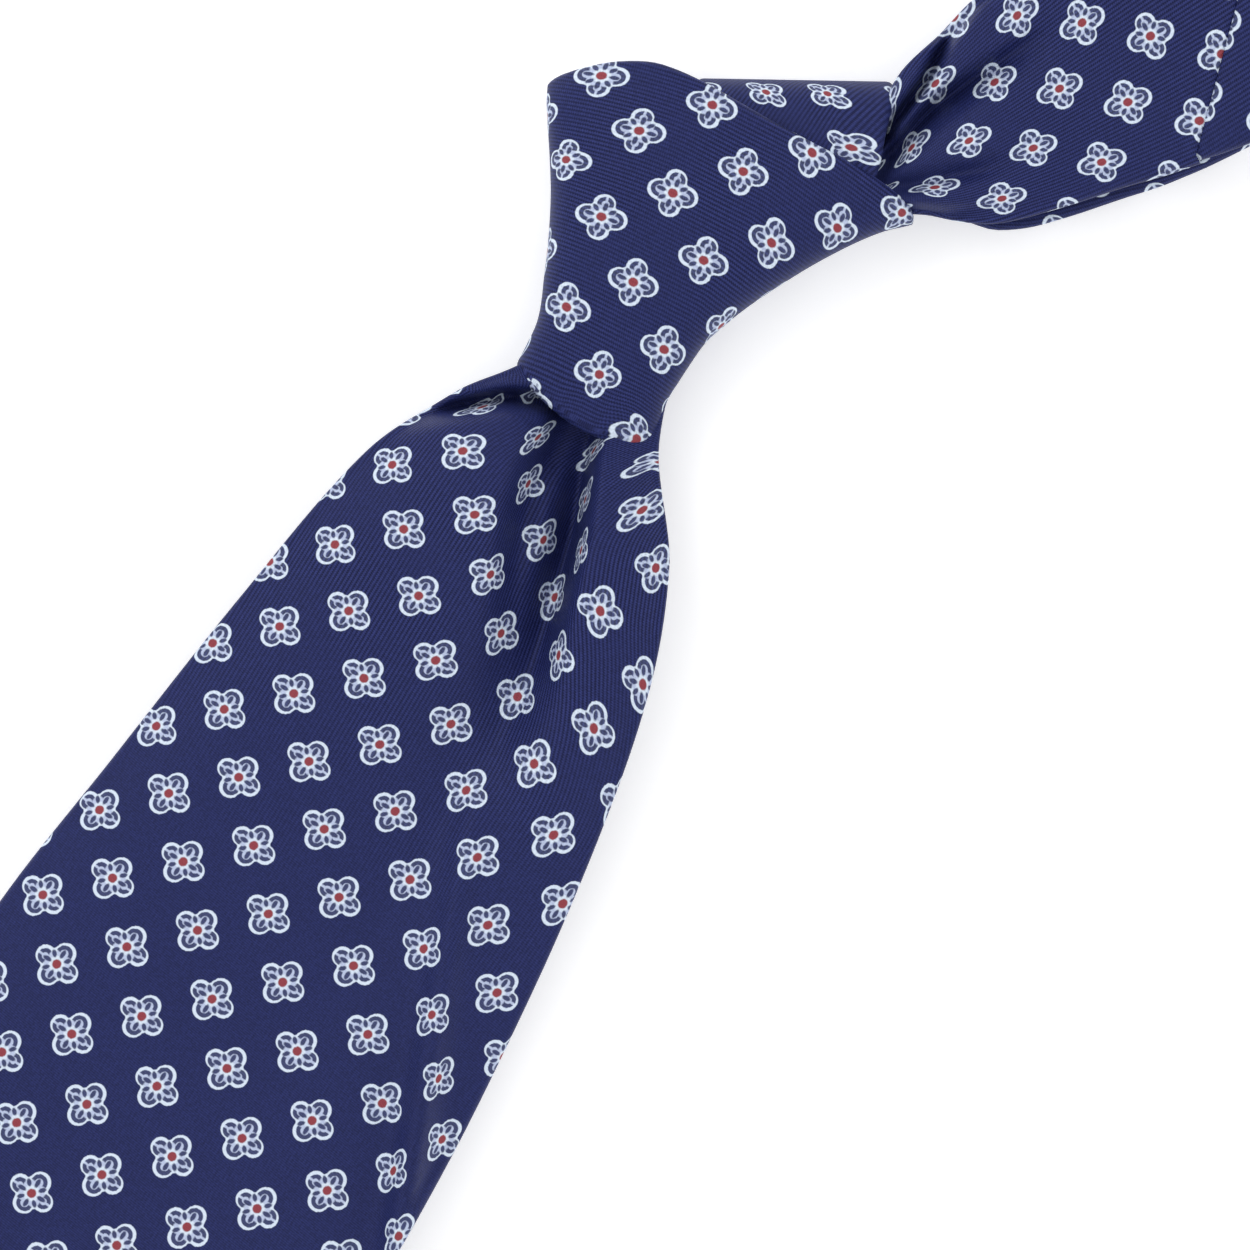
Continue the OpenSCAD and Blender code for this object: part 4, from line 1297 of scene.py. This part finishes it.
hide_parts("care_label")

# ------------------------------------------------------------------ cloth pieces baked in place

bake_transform(front_cloth)
loop_axis = np.array([math.sin(LOOP_ANGLE), math.cos(LOOP_ANGLE)])
for piece, far in ((upper, 30.0), (lower, 60.0)):
    a, b = (LOOP_BASE + loop_axis * 2) * MM, (LOOP_BASE + loop_axis * far) * MM
    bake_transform(piece)
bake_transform(tail_cloth)

# ------------------------------------------------------------------ floor, light, camera

floor_mat = Nodes("paper white")
pores = floor_mat.noise(floor_mat.coords(), 900.0, 3.0)
floor_mat.finish(floor_mat.mix(pores, (0.92, 0.92, 0.925), (0.95, 0.95, 0.95)), 0.9,
                 floor_mat.bump(pores, 0.00005, 0.2), specular=0.1, glow=0.34)
me = bpy.data.meshes.new("floor")
me.from_pydata([(-4, -4, -0.0004), (4, -4, -0.0004), (4, 4, -0.0004), (-4, 4, -0.0004)], [], [(0, 1, 2, 3)])
floor = bpy.data.objects.new("floor", me)
bpy.context.scene.collection.objects.link(floor)
me.materials.append(floor_mat.mat)

# The camera looks straight down at the knot, turned so that the front blade runs to the lower left.
VIEW_TURN = math.radians(58.5)
VIEW_C = (17.2, -41.5)
FIELD = 160.0
DISTANCE = 1.4
cam_data = bpy.data.cameras.new("camera")
cam_data.sensor_width = 36.0
cam_data.lens = 36.0 * DISTANCE / (FIELD * MM)
cam = bpy.data.objects.new("camera", cam_data)
cam.location = (VIEW_C[0] * MM, VIEW_C[1] * MM, DISTANCE + 0.008)
cam.rotation_euler = (0, 0, math.radians(90) - VIEW_TURN)
bpy.context.scene.collection.objects.link(cam)
bpy.context.scene.camera = cam

world = bpy.data.worlds.new("soft room")
bpy.context.scene.world = world
world.use_nodes = True
bg = world.node_tree.nodes["Background"]
bg.inputs["Color"].default_value = (1.0, 1.0, 1.0, 1.0)
bg.inputs["Strength"].default_value = 0.97


def softbox(name, size, power, spot, aim):
    """A square area light at spot that looks at aim."""
    data = bpy.data.lights.new(name, "AREA")
    data.shape = "SQUARE"
    data.size = size
    data.energy = power
    lamp = bpy.data.objects.new(name, data)
    lamp.location = spot
    d = np.array(aim) - np.array(spot)
    d = d / np.linalg.norm(d)
    lamp.rotation_euler = Vector(d).to_track_quat("-Z", "Y").to_euler()
    bpy.context.scene.collection.objects.link(lamp)


# the camera's left and up on the floor
CAMERA_TURN = math.radians(31.5)
img_left = np.array([-math.cos(CAMERA_TURN), -math.sin(CAMERA_TURN)])
img_up = np.array([-math.sin(CAMERA_TURN), math.cos(CAMERA_TURN)])
key = img_left * 0.8 + img_up * 0.9
softbox("key", 0.9, 6.0, (key[0], key[1], 1.45), (0.0, -0.05, 0.0))

bpy.context.scene.view_settings.view_transform = "Standard"
